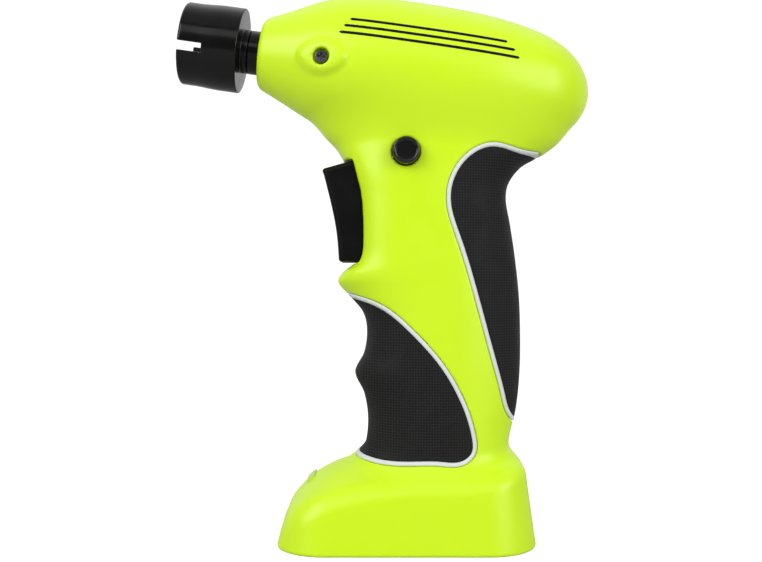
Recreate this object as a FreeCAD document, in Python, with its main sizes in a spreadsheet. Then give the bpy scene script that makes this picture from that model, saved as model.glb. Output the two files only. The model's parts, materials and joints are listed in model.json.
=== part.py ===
import FreeCAD, Part
import math
import os
import Sketcher
from types import SimpleNamespace

from FreeCAD import Placement, Rotation, Vector

# A powered string winder for tuning pegs, in millimetres.
# Frame: origin at the middle of the flat underside of the foot, +Z up, the peg socket points to -X,
# and the mirror plane of the two half shells is Y = 0. The barrel leans 8 degrees, nose up.

DIMENSIONS = {
    # barrel, along its own axis
    "nose_x": -43.3,
    "nose_z": 148.3,
    "barrel_tilt": 8.0,
    "barrel_length": 100.3,
    "nose_start": -1.1,
    "nose_radius": 10.22,
    "nose_slope": 0.435,
    "nose_corner": 2.0,
    # housing walls
    "wall": 2.4,
    "grip_depth": 1.2,
    "piping_width": 1.2,
    "piping_proud": 0.3,
    # handle and foot
    "handle_centre_x": 10.0,
    "handle_half_width": 16.0,
    "foot_front_x": -38.7,
    "foot_rear_x": 38.9,
    "foot_width": 45.6,
    "foot_corner": 15.0,
    "foot_draft": 3.6,
    "foot_height": 26.0,
    "foot_shoulder_y": 20.0,
    # screws
    "nose_screw_along": 19.3,
    "nose_screw_drop": -2.4,
    "nose_boss_long": 15.0,
    "nose_boss_wide": 9.6,
    "nose_boss_rise": 0.7,
    "screw_head_radius": 1.95,
    "screw_head_height": 1.3,
    "screw_shank_radius": 1.0,
    "screw_recess_radius": 2.45,
    "nose_screw_head_y": 18.9,
    "nose_screw_tip_y": 9.8,
    "cross_arm": 2.3,
    "cross_width": 0.62,
    "cross_deep": 0.9,
    "post_radius": 3.1,
    "housing_screw_tip_y": 7.0,
    "housing_screw_seat": 9.0,
    # peg socket, collar and spindle
    "socket_mouth": -24.4,
    "socket_rear": -6.5,
    "socket_radius_rear": 12.8,
    "socket_radius_front": 12.4,
    "socket_step": 8.0,
    "socket_turn": 15.5,
    "socket_edge": 0.8,
    "cavity_long": 21.5,
    "cavity_short": 12.5,
    "cavity_deep": 14.0,
    "cavity_corner": 2.5,
    "slot_width": 2.7,
    "slot_deep": 7.4,
    "hub_radius": 6.6,
    "hub_length": 2.1,
    "shank_flats": 6.35,
    "shank_end": 4.6,
    "collar_radius": 6.6,
    "collar_end": 9.4,
    "collar_bore_end": 5.0,
    "collar_window": 7.1,
    "spindle_radius": 3.0,
    "spindle_start": 5.2,
    "clip_start": 9.7,
    "clip_thick": 0.5,
    # gear train
    "gear_module": 0.5,
    "sun_teeth": 12,
    "planet_teeth": 18,
    "ring_teeth": 48,
    "pressure_angle": 20.0,
    "addendum": 0.8,
    "backlash": 0.05,
    "planet_count": 3,
    "pin_radius": 1.5,
    "running_gap": 0.05,
    "case_radius": 15.0,
    "case_nose_radius": 9.5,
    "case_nose_start": 10.6,
    "case_start": 16.8,
    "case_wall_end": 21.3,
    "case_bore": 12.7,
    "case_end": 41.4,
    "bushing_radius": 5.0,
    "bushing_end": 20.6,
    "carrier_two_start": 21.7,
    "carrier_two_end": 24.3,
    "carrier_two_radius": 12.2,
    "planet_two_start": 24.9,
    "planet_two_end": 30.9,
    "pin_two_end": 31.1,
    "carrier_one_start": 31.7,
    "carrier_one_end": 34.0,
    "carrier_one_radius": 11.0,
    "planet_one_start": 34.4,
    "planet_one_end": 39.5,
    "pin_one_end": 39.8,
    # motor
    "motor_plate_end": 43.9,
    "can_radius": 13.85,
    "can_wall": 0.9,
    "can_start": 44.0,
    "can_end": 77.5,
    "bell_end": 80.0,
    "magnet_inner": 10.3,
    "magnet_start": 48.0,
    "magnet_end": 72.0,
    "shaft_radius": 1.0,
    "shaft_start": 34.4,
    "shaft_end": 80.8,
    "armature_radius": 9.7,
    "armature_start": 50.0,
    "armature_end": 70.0,
    "coil_start": 48.2,
    "coil_end": 71.8,
    "commutator_radius": 2.8,
    "commutator_start": 72.8,
    "commutator_end": 76.4,
    "motor_screw_ring": 8.0,
    "motor_screw_shank": 1.2,
    "motor_screw_hole": 1.3,
    # trigger
    "trigger_bottom": 84.3,
    "trigger_top": 114.6,
    "trigger_half_width": 9.6,
    "trigger_back_x": -8.0,
    "trigger_flange": 2.0,
    "trigger_flange_half": 10.6,
    "trigger_gap": 0.35,
    "trigger_edge": 2.2,
    "spring_height": 110.2,
    "spring_front_x": -14.0,
    "spring_back_x": 0.8,
    "spring_radius": 1.9,
    "spring_wire": 0.25,
    "spring_turns": 9,
    "trigger_switch_x": 0.6,
    "trigger_switch_thick": 5.8,
    "trigger_switch_bottom": 94.6,
    "trigger_switch_tall": 12.8,
    "trigger_switch_wide": 6.5,
    "plunger_long": 2.0,
    # direction button
    "button_x": 0.0,
    "button_z": 116.4,
    "button_radius": 4.0,
    "button_proud": 3.2,
    "button_edge": 0.8,
    "button_neck": 3.0,
    "button_groove": 2.0,
    "button_window": 4.25,
    "slider_top": 121.3,
    "direction_switch_top": 126.0,
    "direction_switch_half": 4.0,
    # power
    "cell_radius": 9.2,
    "cell_length": 65.0,
    "cell_x": 12.0,
    "cell_bottom": 28.4,
    "tab_thick": 0.4,
    "board_front_x": -33.8,
    "board_rear_x": 8.0,
    "board_half_width": 8.5,
    "board_bottom": 5.6,
    "board_thick": 1.6,
    "inlet_front_x": -35.2,
    "inlet_long": 6.5,
    "inlet_wide": 8.94,
    "inlet_tall": 3.26,
    "inlet_wall": 0.3,
    "inlet_window_wide": 10.4,
    "inlet_window_tall": 4.6,
    "icon_x": -28.5,
    "icon_half_width": 4.6,
    "icon_half_length": 1.6,
    "icon_proud": 0.35,
    "light_pipe_x": -27.4,
    "light_pipe_radius": 1.0,
}


class Size:
    """A number of the sheet, or a sum or product of such numbers, with the expression that gives it."""

    def __init__(self, value, text):
        self.value = value
        self.text = text

    def joined(self, sign, other, value):
        return Size(value, f"({self.text} {sign} {size(other).text})")

    def __add__(self, other):
        return self.joined("+", other, self.value + size(other).value)

    def __sub__(self, other):
        return self.joined("-", other, self.value - size(other).value)

    def __mul__(self, other):
        return self.joined("*", other, self.value * size(other).value)

    def __truediv__(self, other):
        return self.joined("/", other, self.value / size(other).value)

    def __neg__(self):
        return Size(-self.value, f"(0 - {self.text})")


def size(number):
    """The number as a Size."""
    return number if isinstance(number, Size) else Size(number, repr(number))


doc = FreeCAD.newDocument("string_winder")
sheet = doc.addObject("Spreadsheet::Sheet", "dims")
for row, (alias, number) in enumerate(DIMENSIONS.items(), 1):
    sheet.set(f"A{row}", alias)
    sheet.set(f"B{row}", str(number))
    sheet.setAlias(f"B{row}", alias)
doc.recompute()

D = SimpleNamespace(**{alias: Size(float(sheet.get(alias)), f"dims.{alias}") for alias in DIMENSIONS})
V = SimpleNamespace(**{alias: one.value for alias, one in vars(D).items()})

X, Y, Z = Vector(1, 0, 0), Vector(0, 1, 0), Vector(0, 0, 1)
BARREL = Placement(Vector(V.nose_x, 0, V.nose_z), Rotation(Y, V.barrel_tilt))
CENTRE_DISTANCE = V.gear_module * (V.sun_teeth + V.planet_teeth) / 2
# tools that cut a half shell reach this far out to the side, and this far past the parting plane
SIDE_REACH = 40.0
PAST_PARTING = 1.0
PLANET_TURNS = [360 / V.planet_count * k for k in range(int(V.planet_count))]
parts = {}


# Making features


def placed(obj, label, placement):
    """Keep the object as a finished sub-part, under its own label and placement."""
    obj.Label = label
    obj.Placement = placement
    parts[label] = obj
    return obj


def shaped(label, shape, placement=Placement()):
    """A sub-part whose shape is worked out here from the sheet's sizes."""
    feature = doc.addObject("Part::Feature", label)
    feature.Shape = shape
    return placed(feature, label, placement)


def origin_plane(body, role):
    return next(plane for plane in body.Origin.OriginFeatures if plane.Role == role)


def outlined(body, name, plane, corners):
    """A sketch on one of the body's origin planes: a closed outline whose corners are bound to the sheet."""
    sketch = body.newObject("Sketcher::SketchObject", name)
    sketch.AttachmentSupport = [(origin_plane(body, plane), "")]
    sketch.MapMode = "FlatFace"
    points = [Vector(size(x).value, size(y).value, 0) for x, y in corners]
    count = len(points)
    for i in range(count):
        sketch.addGeometry(Part.LineSegment(points[i], points[(i + 1) % count]), False)
    for i in range(count):
        from_one, to_next = (i, 2), ((i + 1) % count, 1)
        sketch.addConstraint(bound_join(*from_one, *to_next))
    for i, corner in enumerate(corners):
        for kind, along in zip(("DistanceX", "DistanceY"), corner):
            along = size(along)
            held = sketch.addConstraint(bound_distance(kind, i, along.value))
            sketch.setExpression(f"Constraints[{held}]", along.text)
    return sketch


def bound_join(edge_a, end_a, edge_b, end_b):

    return Sketcher.Constraint("Coincident", edge_a, end_a, edge_b, end_b)


def bound_distance(kind, edge, value):

    return Sketcher.Constraint(kind, -1, 1, edge, 1, value)


def turned_body(name, corners):
    """A body of revolution about its own X axis, from an outline of (along, radius) corners."""
    body = doc.addObject("PartDesign::Body", name)
    sketch = outlined(body, name + "_profile", "XY_Plane", corners)
    turn = body.newObject("PartDesign::Revolution", name + "_turn")
    turn.Profile = sketch
    turn.ReferenceAxis = (sketch, ["H_Axis"])
    turn.Angle = 360
    return body


def tube_corners(start, end, outer, inner=0.0):
    """The half section of a plain ring or rod."""
    return [(start, inner), (end, inner), (end, outer), (start, outer)]


def box_corners(x_low, x_high, y_low, y_high):
    return [(x_low, y_low), (x_high, y_low), (x_high, y_high), (x_low, y_high)]


def padded_body(name, plane, corners, length, offset=0.0):
    """A body padded from an outline on an origin plane, starting at the offset from that plane."""
    body = doc.addObject("PartDesign::Body", name)
    sketch = outlined(body, name + "_outline", plane, corners)
    sketch.setExpression("AttachmentOffset.Base.z", size(offset).text)
    pad = body.newObject("PartDesign::Pad", name + "_pad")
    pad.Profile = sketch
    pad.setExpression("Length", size(length).text)
    return body


def rod(start, end, radius, across=0.0, up=0.0):
    """A solid rod along X."""
    return Part.makeCylinder(radius, end - start, Vector(start, across, up), X)


def block(x_low, x_high, y_low, y_high, z_low, z_high):
    return Part.makeBox(x_high - x_low, y_high - y_low, z_high - z_low, Vector(x_low, y_low, z_low))


def polygon_face(points):
    return Part.Face(Part.makePolygon(points + points[:1]))


def fused(shapes):
    return shapes[0].fuse(shapes[1:]) if len(shapes) > 1 else shapes[0]


def round_about(shape, turns):
    """Copies of the shape, turned about X by each of the angles."""
    copies = []
    for angle in turns:
        copy = shape.copy()
        copy.rotate(Vector(), X, angle)
        copies.append(copy)
    return copies


def in_barrel(shape):
    """The shape moved from the barrel's own frame to the object's."""
    moved = shape.copy()
    moved.Placement = BARREL.multiply(moved.Placement)
    return moved


def smooth(points, place):
    """The height at a place of the smooth curve through (place, height) points."""
    last = len(points) - 2
    i = max(0, min(last, sum(1 for p in points if p[0] <= place) - 1))
    (x0, y0), (x1, y1) = points[i], points[i + 1]
    before = points[max(i - 1, 0)]
    after = points[min(i + 2, len(points) - 1)]
    slope_0 = (y1 - before[1]) / (x1 - before[0])
    slope_1 = (after[1] - y0) / (after[0] - x0)
    share = (place - x0) / (x1 - x0)
    near, far = share - 1, share
    return (
        (1 + 2 * far) * near * near * y0
        + far * far * (3 - 2 * far) * y1
        + (x1 - x0) * (far * near * near * slope_0 + far * far * near * slope_1)
    )


# Outer skin of the housing

# barrel: distance along the axis from the nose face, and radius, from the end of the cone to the tail
BARREL_CURVE = [(9.0, 14.7), (17.3, 18.4), (25.0, 20.5), (40.0, 21.5), (60.0, 21.1), (78.0, 18.9)]
BARREL_TAIL = [(90.0, 14.9), (97.0, 9.0)]

# handle: height, and the X of its front face, with the trigger's seat above two finger grooves
HANDLE_FRONT = [
    (12.0, -14.2), (25.1, -13.6), (29.7, -11.9), (37.1, -11.3), (44.5, -12.5), (50.9, -15.2),
    (56.8, -12.5), (63.5, -11.6), (69.1, -12.8), (74.0, -16.8), (78.2, -20.4), (81.0, -19.2),
    (84.5, -15.0), (90.0, -13.6), (104.0, -14.3), (112.0, -17.0), (118.3, -20.5), (124.0, -24.0),
    (132.0, -24.0),
]
# handle: height, and the X of its rear face, up to the web under the tail of the barrel
HANDLE_REAR = [
    (12.0, 31.0), (25.7, 31.2), (32.2, 32.1), (39.5, 33.9), (49.4, 35.0), (60.5, 35.3), (74.0, 34.9),
    (86.3, 33.6), (96.2, 32.1), (103.5, 30.9), (108.5, 31.8), (113.4, 35.6), (118.3, 42.4),
    (123.0, 45.5), (132.0, 42.0),
]
# handle: height, and how square its front is: 2 is an ellipse, more is flatter
HANDLE_REAR_SQUARE = 2.35
HANDLE_SQUARE = [(12.0, 2.4), (76.0, 2.5), (84.0, 3.8), (106.0, 3.8), (120.0, 2.5), (132.0, 2.2)]
HANDLE_HEIGHTS = [12, 25, 31, 37, 44, 51, 57, 63.5, 70, 78, 84, 92, 104, 112, 118, 124, 132]
# foot: X, and the height of its top along the middle and along its shoulders
FOOT_MIDDLE = [
    (-43.0, -6.0), (-38.7, 3.6), (-35.9, 10.0), (-32.2, 15.0), (-27.0, 19.8), (-17.1, 24.4),
    (0.0, 25.6), (30.0, 25.6), (43.0, 25.4),
]
FOOT_SHOULDER = [
    (-43.0, -6.0), (-38.7, 2.8), (-34.6, 8.5), (-30.6, 12.2), (-22.2, 16.4), (-4.4, 19.5),
    (18.0, 20.4), (30.9, 22.0), (43.0, 22.4),
]
# outlines of the rubber grips on the side of the handle, as X and height
FRONT_GRIP = [
    (-16.8, 74.3), (-7.2, 71.4), (1.7, 63.8), (10.6, 53.6), (16.8, 42.5), (19.9, 31.5), (16.8, 26.4),
    (1.7, 26.0), (-7.2, 26.4), (-14.2, 28.2),
]
REAR_GRIP = [
    (40.4, 116.6), (33.6, 117.0), (25.3, 118.5), (16.9, 114.2), (12.4, 103.0), (15.3, 91.4),
    (20.8, 73.5), (26.4, 53.5), (29.2, 43.5), (33.6, 37.0),
]


def barrel_solid(inset, past=0.0):
    """The left half of the barrel, smaller all round by the inset, turned a little past the parting plane."""
    curve = BARREL_CURVE + BARREL_TAIL
    slope = V.nose_slope
    lean = math.hypot(1, slope)
    face = V.nose_start + inset
    start = Vector(face, 0, V.nose_radius + slope * inset - inset * lean)
    points = [start]
    for i, (along, radius) in enumerate(curve):
        back = curve[i - 1] if i else (V.nose_start, V.nose_radius)
        front = curve[i + 1] if i + 1 < len(curve) else (V.barrel_length, 0.0)
        run, rise = front[0] - back[0], front[1] - back[1]
        length = math.hypot(run, rise)
        points.append(Vector(along + inset * rise / length, 0, radius - inset * run / length))
    tail = Vector(V.barrel_length - inset, 0, 0)
    side = Part.BSplineCurve()
    side.interpolate(points + [tail], InitialTangent=Vector(1, 0, slope), FinalTangent=Vector(0, 0, -1))
    lines = [
        Part.makeLine(tail, Vector(face, 0, 0)),
        Part.makeLine(Vector(face, 0, 0), start),
    ]
    solid = Part.Face(Part.Wire([side.toShape()] + lines)).revolve(Vector(), X, 180 + 2 * past)
    if inset <= 0:
        rim = [e for e in solid.Edges if e.BoundBox.XMax < face + 0.01 and e.BoundBox.YLength > 2]
        solid = solid.makeFillet(V.nose_corner, rim)
    solid.rotate(Vector(), X, -past)
    return in_barrel(solid)


def handle_section(height, inset, past):
    """The left half of a level section of the handle: two quarter superellipses, closed past the parting."""
    middle = V.handle_centre_x
    front = middle - smooth(HANDLE_FRONT, height) - inset
    rear = smooth(HANDLE_REAR, height) - middle - inset
    half = V.handle_half_width - inset
    steps = 20
    points = []
    for k in range(steps):
        angle = 2 * math.pi * k / steps
        cosine, sine = math.cos(angle), math.sin(angle)
        square = smooth(HANDLE_SQUARE, height) if cosine < 0 else HANDLE_REAR_SQUARE
        reach = front if cosine < 0 else rear
        x = middle + reach * math.copysign(abs(cosine) ** (2 / square), cosine)
        y = -half * math.copysign(abs(sine) ** (2 / square), sine)
        points.append(Vector(x, y, height))
    first, last = points[0], points[steps // 2]
    first.y = last.y = 0.0
    curve = Part.BSplineCurve()
    curve.interpolate(points, PeriodicFlag=True)
    curve.segment(curve.FirstParameter, curve.parameter(last))
    edges = [curve.toShape()]
    ends = [last, first]
    if past:
        over = [Vector(end.x, past, height) for end in ends]
        edges += [Part.makeLine(ends[0], over[0]), Part.makeLine(*over), Part.makeLine(over[1], ends[1])]
    else:
        edges.append(Part.makeLine(*ends))
    return Part.Wire(edges)


def handle_solid(inset, past=0.0):
    """The left half of the handle, from inside the foot to inside the barrel."""
    return Part.makeLoft([handle_section(height, inset, past) for height in HANDLE_HEIGHTS], True, False)


def foot_plan(height, inset):
    """A level rounded rectangle, drawn in by the draft as it rises."""
    drawn = inset + V.foot_draft * height / V.foot_height
    x_low, x_high = V.foot_front_x + drawn, V.foot_rear_x - drawn
    half = V.foot_width / 2 - drawn
    corner = V.foot_corner - drawn
    wire = Part.makePolygon([
        Vector(x_low, -half, height), Vector(x_high, -half, height),
        Vector(x_high, half, height), Vector(x_low, half, height), Vector(x_low, -half, height),
    ])
    prism = Part.Face(wire).extrude(Z)
    upright = [e for e in prism.Edges if e.BoundBox.ZLength > 0.5]
    rounded = prism.makeFillet(corner, upright)
    return min(rounded.Faces, key=lambda face: face.CenterOfMass.z).OuterWire


def foot_rib(across, inset):
    """An upright section of the space under the foot's crowned top, at a distance from the middle."""
    share = (across / V.foot_shoulder_y) ** 2
    tops = []
    for x, middle in FOOT_MIDDLE:
        shoulder = smooth(FOOT_SHOULDER, x)
        tops.append(Vector(x, across, middle + (shoulder - middle) * share - inset))
    curve = Part.BSplineCurve()
    curve.interpolate(tops)
    low = -V.foot_height
    first, last = tops[0], tops[-1]
    return Part.Wire([
        curve.toShape(),
        Part.makeLine(last, Vector(last.x, across, low)),
        Part.makeLine(Vector(last.x, across, low), Vector(first.x, across, low)),
        Part.makeLine(Vector(first.x, across, low), first),
    ])


def foot_solid(inset, past=0.0):
    """The left half of the foot: a drafted block under a crowned top that slopes down to the toe."""
    side = Part.makeLoft([foot_plan(h, inset) for h in (max(inset, 0.0), V.foot_height)], True, True)
    crown = Part.makeLoft([foot_rib(y, inset) for y in (-24, -12, past)], True, False)
    return side.common(crown)


def skin_parts(inset, past=0.0):
    """The left halves of the barrel, the handle and the foot, smaller all round by the inset."""
    return [barrel_solid(inset, past), handle_solid(inset, past), foot_solid(inset, past)]


def skin_solid(inset, past=0.0):
    """The left half of the whole housing as one solid, smaller all round by the inset."""
    return fused(skin_parts(inset, past))


def cut_each(shape, tools):
    """The shape with the tools cut from it one after another."""
    for tool in tools:
        shape = shape.cut(tool)
    return shape


def side_prism(points, open_x, grow):
    """A prism across Y from a curve of X and height points, closed at open_x and grown by a margin."""
    toward = grow if open_x > 0 else -grow
    moved = []
    for i, (x, z) in enumerate(points):
        back, front = points[max(i - 1, 0)], points[min(i + 1, len(points) - 1)]
        run, rise = front[0] - back[0], front[1] - back[1]
        length = math.hypot(run, rise)
        moved.append(Vector(x + toward * rise / length, -SIDE_REACH, z - toward * run / length))
    curve = Part.BSplineCurve()
    curve.interpolate(moved)
    first, last = moved[0], moved[-1]
    corner_a, corner_b = Vector(open_x, -SIDE_REACH, first.z), Vector(open_x, -SIDE_REACH, last.z)
    wire = Part.Wire([
        curve.toShape(),
        Part.makeLine(last, corner_b),
        Part.makeLine(corner_b, corner_a),
        Part.makeLine(corner_a, first),
    ])
    return Part.Face(wire).extrude(Vector(0, SIDE_REACH + PAST_PARTING, 0))


def left_only(shape):
    """The part of the shape on the left of the parting plane."""
    return shape.common(block(-80, 100, -60, 0, -10, 200))


def mirrored(shape):
    """The shape's twin on the other side of the parting plane."""
    return shape.mirror(Vector(), Y)


# screw posts of the two half shells: X and height
HOUSING_SCREWS = [(45.6, 135.9), (9.8, 99.0), (27.5, 13.0), (-17.5, 12.6)]


def across_rod(x, z, radius, y_low, y_high):
    return Part.makeCylinder(radius, y_high - y_low, Vector(x, y_low, z), Y)


def nose_boss(proud_barrel):
    """The raised eye-shaped boss round each nose screw."""
    long, wide = V.nose_boss_long / 2, V.nose_boss_wide / 2
    radius = (long * long + wide * wide) / (2 * wide)
    discs = []
    for side in (-1, 1):
        centre = Vector(V.nose_screw_along, -30, V.nose_screw_drop + side * (radius - wide))
        discs.append(Part.makeCylinder(radius, 60, centre, Y))
    lens = discs[0].common(discs[1])
    return proud_barrel.common(in_barrel(lens))


# ribs round the gear case and the motor: distance along the barrel, and what each holds
BARREL_RIBS = [(25.0, V.case_radius), (37.0, V.case_radius), (54.0, V.can_radius), (71.0, V.can_radius)]
CELL_RIBS = [42.0, 66.0, 88.0]
BOARD_RIBS = [-22.0, 2.0]
RIB_THICK = 1.4


def inner_ribs(cavity):
    """Plates that hold the gear case, the motor and the cell, cut to the inside of the housing."""
    plates = []
    for along, hole in BARREL_RIBS:
        ring = rod(along, along + RIB_THICK, 21.4).cut(rod(along - 1, along + 3, hole + 0.05))
        plates.append(in_barrel(ring))
    for height in CELL_RIBS:
        plate = block(-30, 50, -20, 0, height, height + RIB_THICK)
        well = Part.makeCylinder(V.cell_radius + 0.1, 5, Vector(V.cell_x, 0, height - 1), Z)
        plates.append(plate.cut(well))
    shelf = V.cell_bottom - 3 * V.tab_thick
    plates.append(block(-30, 50, -20, 0, shelf - RIB_THICK, shelf))
    for x in BOARD_RIBS:
        plates.append(block(x, x + RIB_THICK, -20, 0, 0.5, V.board_bottom))
    switch_back = V.trigger_switch_x + V.trigger_switch_thick
    switch_top = V.trigger_switch_bottom + V.trigger_switch_tall
    plates.append(block(switch_back, switch_back + RIB_THICK, -20, 0, V.trigger_switch_bottom, switch_top))
    spring_seat = V.spring_back_x + 0.1
    plates.append(block(spring_seat, spring_seat + RIB_THICK, -20, 0, switch_top + 0.2, 112.9))
    for x in (-V.direction_switch_half - 1.6, V.direction_switch_half + 0.1):
        plates.append(block(x, x + 1.5, -20, 0, V.slider_top + 0.2, V.direction_switch_top + 0.2))
    return left_only(fused(plates).common(cavity))


def nose_cuts():
    """The collar's window, the left nose screw's hole and recess, and room for the gear case."""
    x, z = V.nose_screw_along, V.nose_screw_drop
    seat = V.nose_screw_head_y - V.screw_head_height
    return [in_barrel(cut) for cut in (
        rod(-3, V.wall + 1, V.collar_window),
        across_rod(x, z, V.screw_recess_radius, -30, -seat),
        across_rod(x, z, V.screw_shank_radius + 0.2, -30, -10),
        rod(V.case_start, V.case_end, V.case_radius + 0.05),
    )]


def window_cuts():
    """The openings that both shells share: trigger, button and charging inlet."""
    gap = V.trigger_gap
    half = V.trigger_half_width + gap
    low, high = V.trigger_bottom - gap, V.trigger_top + gap
    tall, wide = V.inlet_window_tall / 2, V.inlet_window_wide / 2
    inlet_z = V.board_bottom + V.board_thick + V.inlet_tall / 2
    inlet = block(-50, V.inlet_front_x + 2, -wide, wide, inlet_z - tall, inlet_z + tall)
    inlet = inlet.makeFillet(tall * 0.95, [e for e in inlet.Edges if e.BoundBox.XLength > 5])
    return [
        block(-40, V.trigger_back_x - 0.3, -half, half, low, high),
        block(V.trigger_back_x - 0.4, 0.6, -13.2, 13.2, low - 1.8, high + 1.8),
        across_rod(V.button_x, V.button_z, V.button_window, -SIDE_REACH, PAST_PARTING),
        inlet,
    ]


def housing_shells():
    """Both half shells with their ribs, posts, windows and grip pockets, then the grips and piping."""
    outer = skin_solid(0.0)
    grip_floor = skin_parts(V.grip_depth, PAST_PARTING)
    rib_room = skin_solid(V.wall - 0.6, PAST_PARTING)
    boss = left_only(nose_boss(barrel_solid(-V.nose_boss_rise)))
    posts = fused([across_rod(x, z, V.post_radius, -30, 0) for x, z in HOUSING_SCREWS])
    prisms = [(side_prism(points, open_x, 0.0), side_prism(points, open_x, -V.piping_width))
              for points, open_x in ((FRONT_GRIP, -60.0), (REAR_GRIP, 70.0))]
    pockets = [cut_each(wide, grip_floor) for wide, _ in prisms]
    body = cut_each(outer.fuse(boss), pockets + skin_parts(V.wall, PAST_PARTING))
    body = body.fuse([inner_ribs(rib_room), posts.common(rib_room)])
    body = cut_each(body, nose_cuts() + window_cuts())

    window = icon_insert(0.12).fuse(light_pipe(0.12))
    pilots, passages = [], []
    for x, z in HOUSING_SCREWS:
        pilots.append(across_rod(x, z, V.screw_shank_radius + 0.05, -V.housing_screw_tip_y - 0.5, 1))
        passages.append(across_rod(x, z, V.screw_shank_radius + 0.05, -1, 30))
        passages.append(across_rod(x, z, V.screw_recess_radius, V.housing_screw_seat, 40))
    shaped("left_shell", body.cut(pilots + [window]))
    shaped("right_shell", mirrored(body).cut(passages + [window]))

    proud_skin = skin_solid(-V.piping_proud)
    button = across_rod(V.button_x, V.button_z, V.button_window, -SIDE_REACH, PAST_PARTING)
    for place, pocket, (_, slim) in zip(("front", "rear"), pockets, prisms):
        grip = cut_each(slim, grip_floor).common(outer).cut(button)
        piping = pocket.cut(slim).common(proud_skin)
        for name, shape in (("grip", grip), ("piping", piping)):
            shaped(f"left_{place}_{name}", shape)
            shaped(f"right_{place}_{name}", mirrored(shape))


def icon_frame_place():
    """The middle of the icon on the sloping front of the foot, and the slope's angle."""
    x = V.icon_x
    height = smooth(FOOT_MIDDLE, x)
    rise = smooth(FOOT_MIDDLE, x + 1) - smooth(FOOT_MIDDLE, x - 1)
    return Vector(x, 0, height), math.degrees(math.atan2(rise, 2))


def on_slope(shape):
    """The shape moved so that its XY plane lies on the front slope of the foot, at the icon."""
    place, angle = icon_frame_place()
    moved = shape.copy()
    moved.Placement = Placement(place, Rotation(Y, -angle)).multiply(moved.Placement)
    return moved


def icon_insert(grow):
    """A battery-shaped window: a rounded bar with a short terminal on one end."""
    long, wide = V.icon_half_length + grow, V.icon_half_width + grow
    bar = block(-long, long, -wide, wide, -0.9 - grow, V.icon_proud)
    upright = [e for e in bar.Edges if e.BoundBox.ZLength > 1]
    bar = bar.makeFillet(0.7, upright)
    stub = block(-long * 0.45, long * 0.45, wide - 0.5, wide + 0.8, -0.9 - grow, V.icon_proud)
    return on_slope(bar.fuse(stub))


def light_pipe(grow):
    """The clear rod that brings the charge light up to the window."""
    bottom = V.board_bottom + V.board_thick + 1.1
    length = smooth(FOOT_MIDDLE, V.light_pipe_x) - 1.0 - bottom
    return Part.makeCylinder(V.light_pipe_radius + grow, length, Vector(V.light_pipe_x, 0, bottom), Z)


# Fasteners


def cross_screw(seat_y, tip_y, side):
    """A cross-recess screw along Y at the origin, with its head outward on the given side."""
    head_y = seat_y + V.screw_head_height
    shank = across_rod(0, 0, V.screw_shank_radius, tip_y, seat_y)
    head = across_rod(0, 0, V.screw_head_radius, seat_y, head_y)
    rim = [e for e in head.Edges if e.BoundBox.YMin > head_y - 0.01]
    head = head.makeFillet(0.35, rim)
    arm, slim = V.cross_arm / 2, V.cross_width / 2
    low = head_y - V.cross_deep
    cross = block(-arm, arm, low, head_y + 1, -slim, slim)
    cross = cross.fuse(block(-slim, slim, low, head_y + 1, -arm, arm))
    screw = shank.fuse(head).cut(cross)
    return screw if side > 0 else screw.mirror(Vector(), Y)


def screws():
    nose = []
    for side in (-1, 1):
        seat = V.nose_screw_head_y - V.screw_head_height
        screw = cross_screw(seat, V.nose_screw_tip_y, side)
        screw.translate(Vector(V.nose_screw_along, 0, V.nose_screw_drop))
        nose.append(screw)
    shaped("nose_screws", Part.makeCompound(nose), BARREL)
    housing = []
    for x, z in HOUSING_SCREWS:
        screw = cross_screw(V.housing_screw_seat, -V.housing_screw_tip_y, 1)
        screw.translate(Vector(x, 0, z))
        housing.append(screw)
    shaped("housing_screws", Part.makeCompound(housing))
    motor = []
    head_radius, length = 1.9, 1.0
    for side in (-1, 1):
        screw = rod(V.case_end - length, V.case_end, head_radius)
        screw = screw.fuse(rod(V.case_end, V.can_start + V.can_wall, V.motor_screw_shank))
        screw = screw.cut(block(V.case_end - 2, V.case_end - 0.5, -2, 2, -0.25, 0.25))
        screw.translate(Vector(0, 0, side * V.motor_screw_ring))
        motor.append(screw)
    shaped("motor_screws", Part.makeCompound(motor), BARREL)


# Gear train


def involute(angle):
    return math.tan(angle) - angle


def gear_face(teeth, tip, root, slack, first_tooth):
    """The outline of a spur gear across X: involute flanks between a root and a tip radius."""
    pressure = math.radians(V.pressure_angle)
    pitch = V.gear_module * teeth / 2
    base = pitch * math.cos(pressure)
    flank = [max(root, base) + (tip - max(root, base)) * k / 3 for k in range(4)]
    if root < base:
        flank.insert(0, root)
    halves = []
    for radius in flank:
        swing = involute(math.acos(min(1.0, base / radius)))
        halves.append(math.pi / (2 * teeth) - slack / pitch + involute(pressure) - swing)
    points = []
    for tooth in range(teeth):
        middle = math.radians(first_tooth) + 2 * math.pi * tooth / teeth
        for radius, half in zip(flank, halves):
            points.append(Vector(0, radius * math.cos(middle - half), radius * math.sin(middle - half)))
        for radius, half in zip(reversed(flank), reversed(halves)):
            points.append(Vector(0, radius * math.cos(middle + half), radius * math.sin(middle + half)))
    return polygon_face(points)


def spur_gear(teeth, start, end, bore, first_tooth):
    """A spur gear along X at the origin."""
    pitch = V.gear_module * teeth / 2
    tip = pitch + V.addendum * V.gear_module
    root = pitch - 1.2 * V.gear_module
    gear = gear_face(int(teeth), tip, root, V.backlash, first_tooth).extrude(Vector(end - start, 0, 0))
    gear.translate(Vector(start, 0, 0))
    return gear.cut(rod(start - 1, end + 1, bore))


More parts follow.
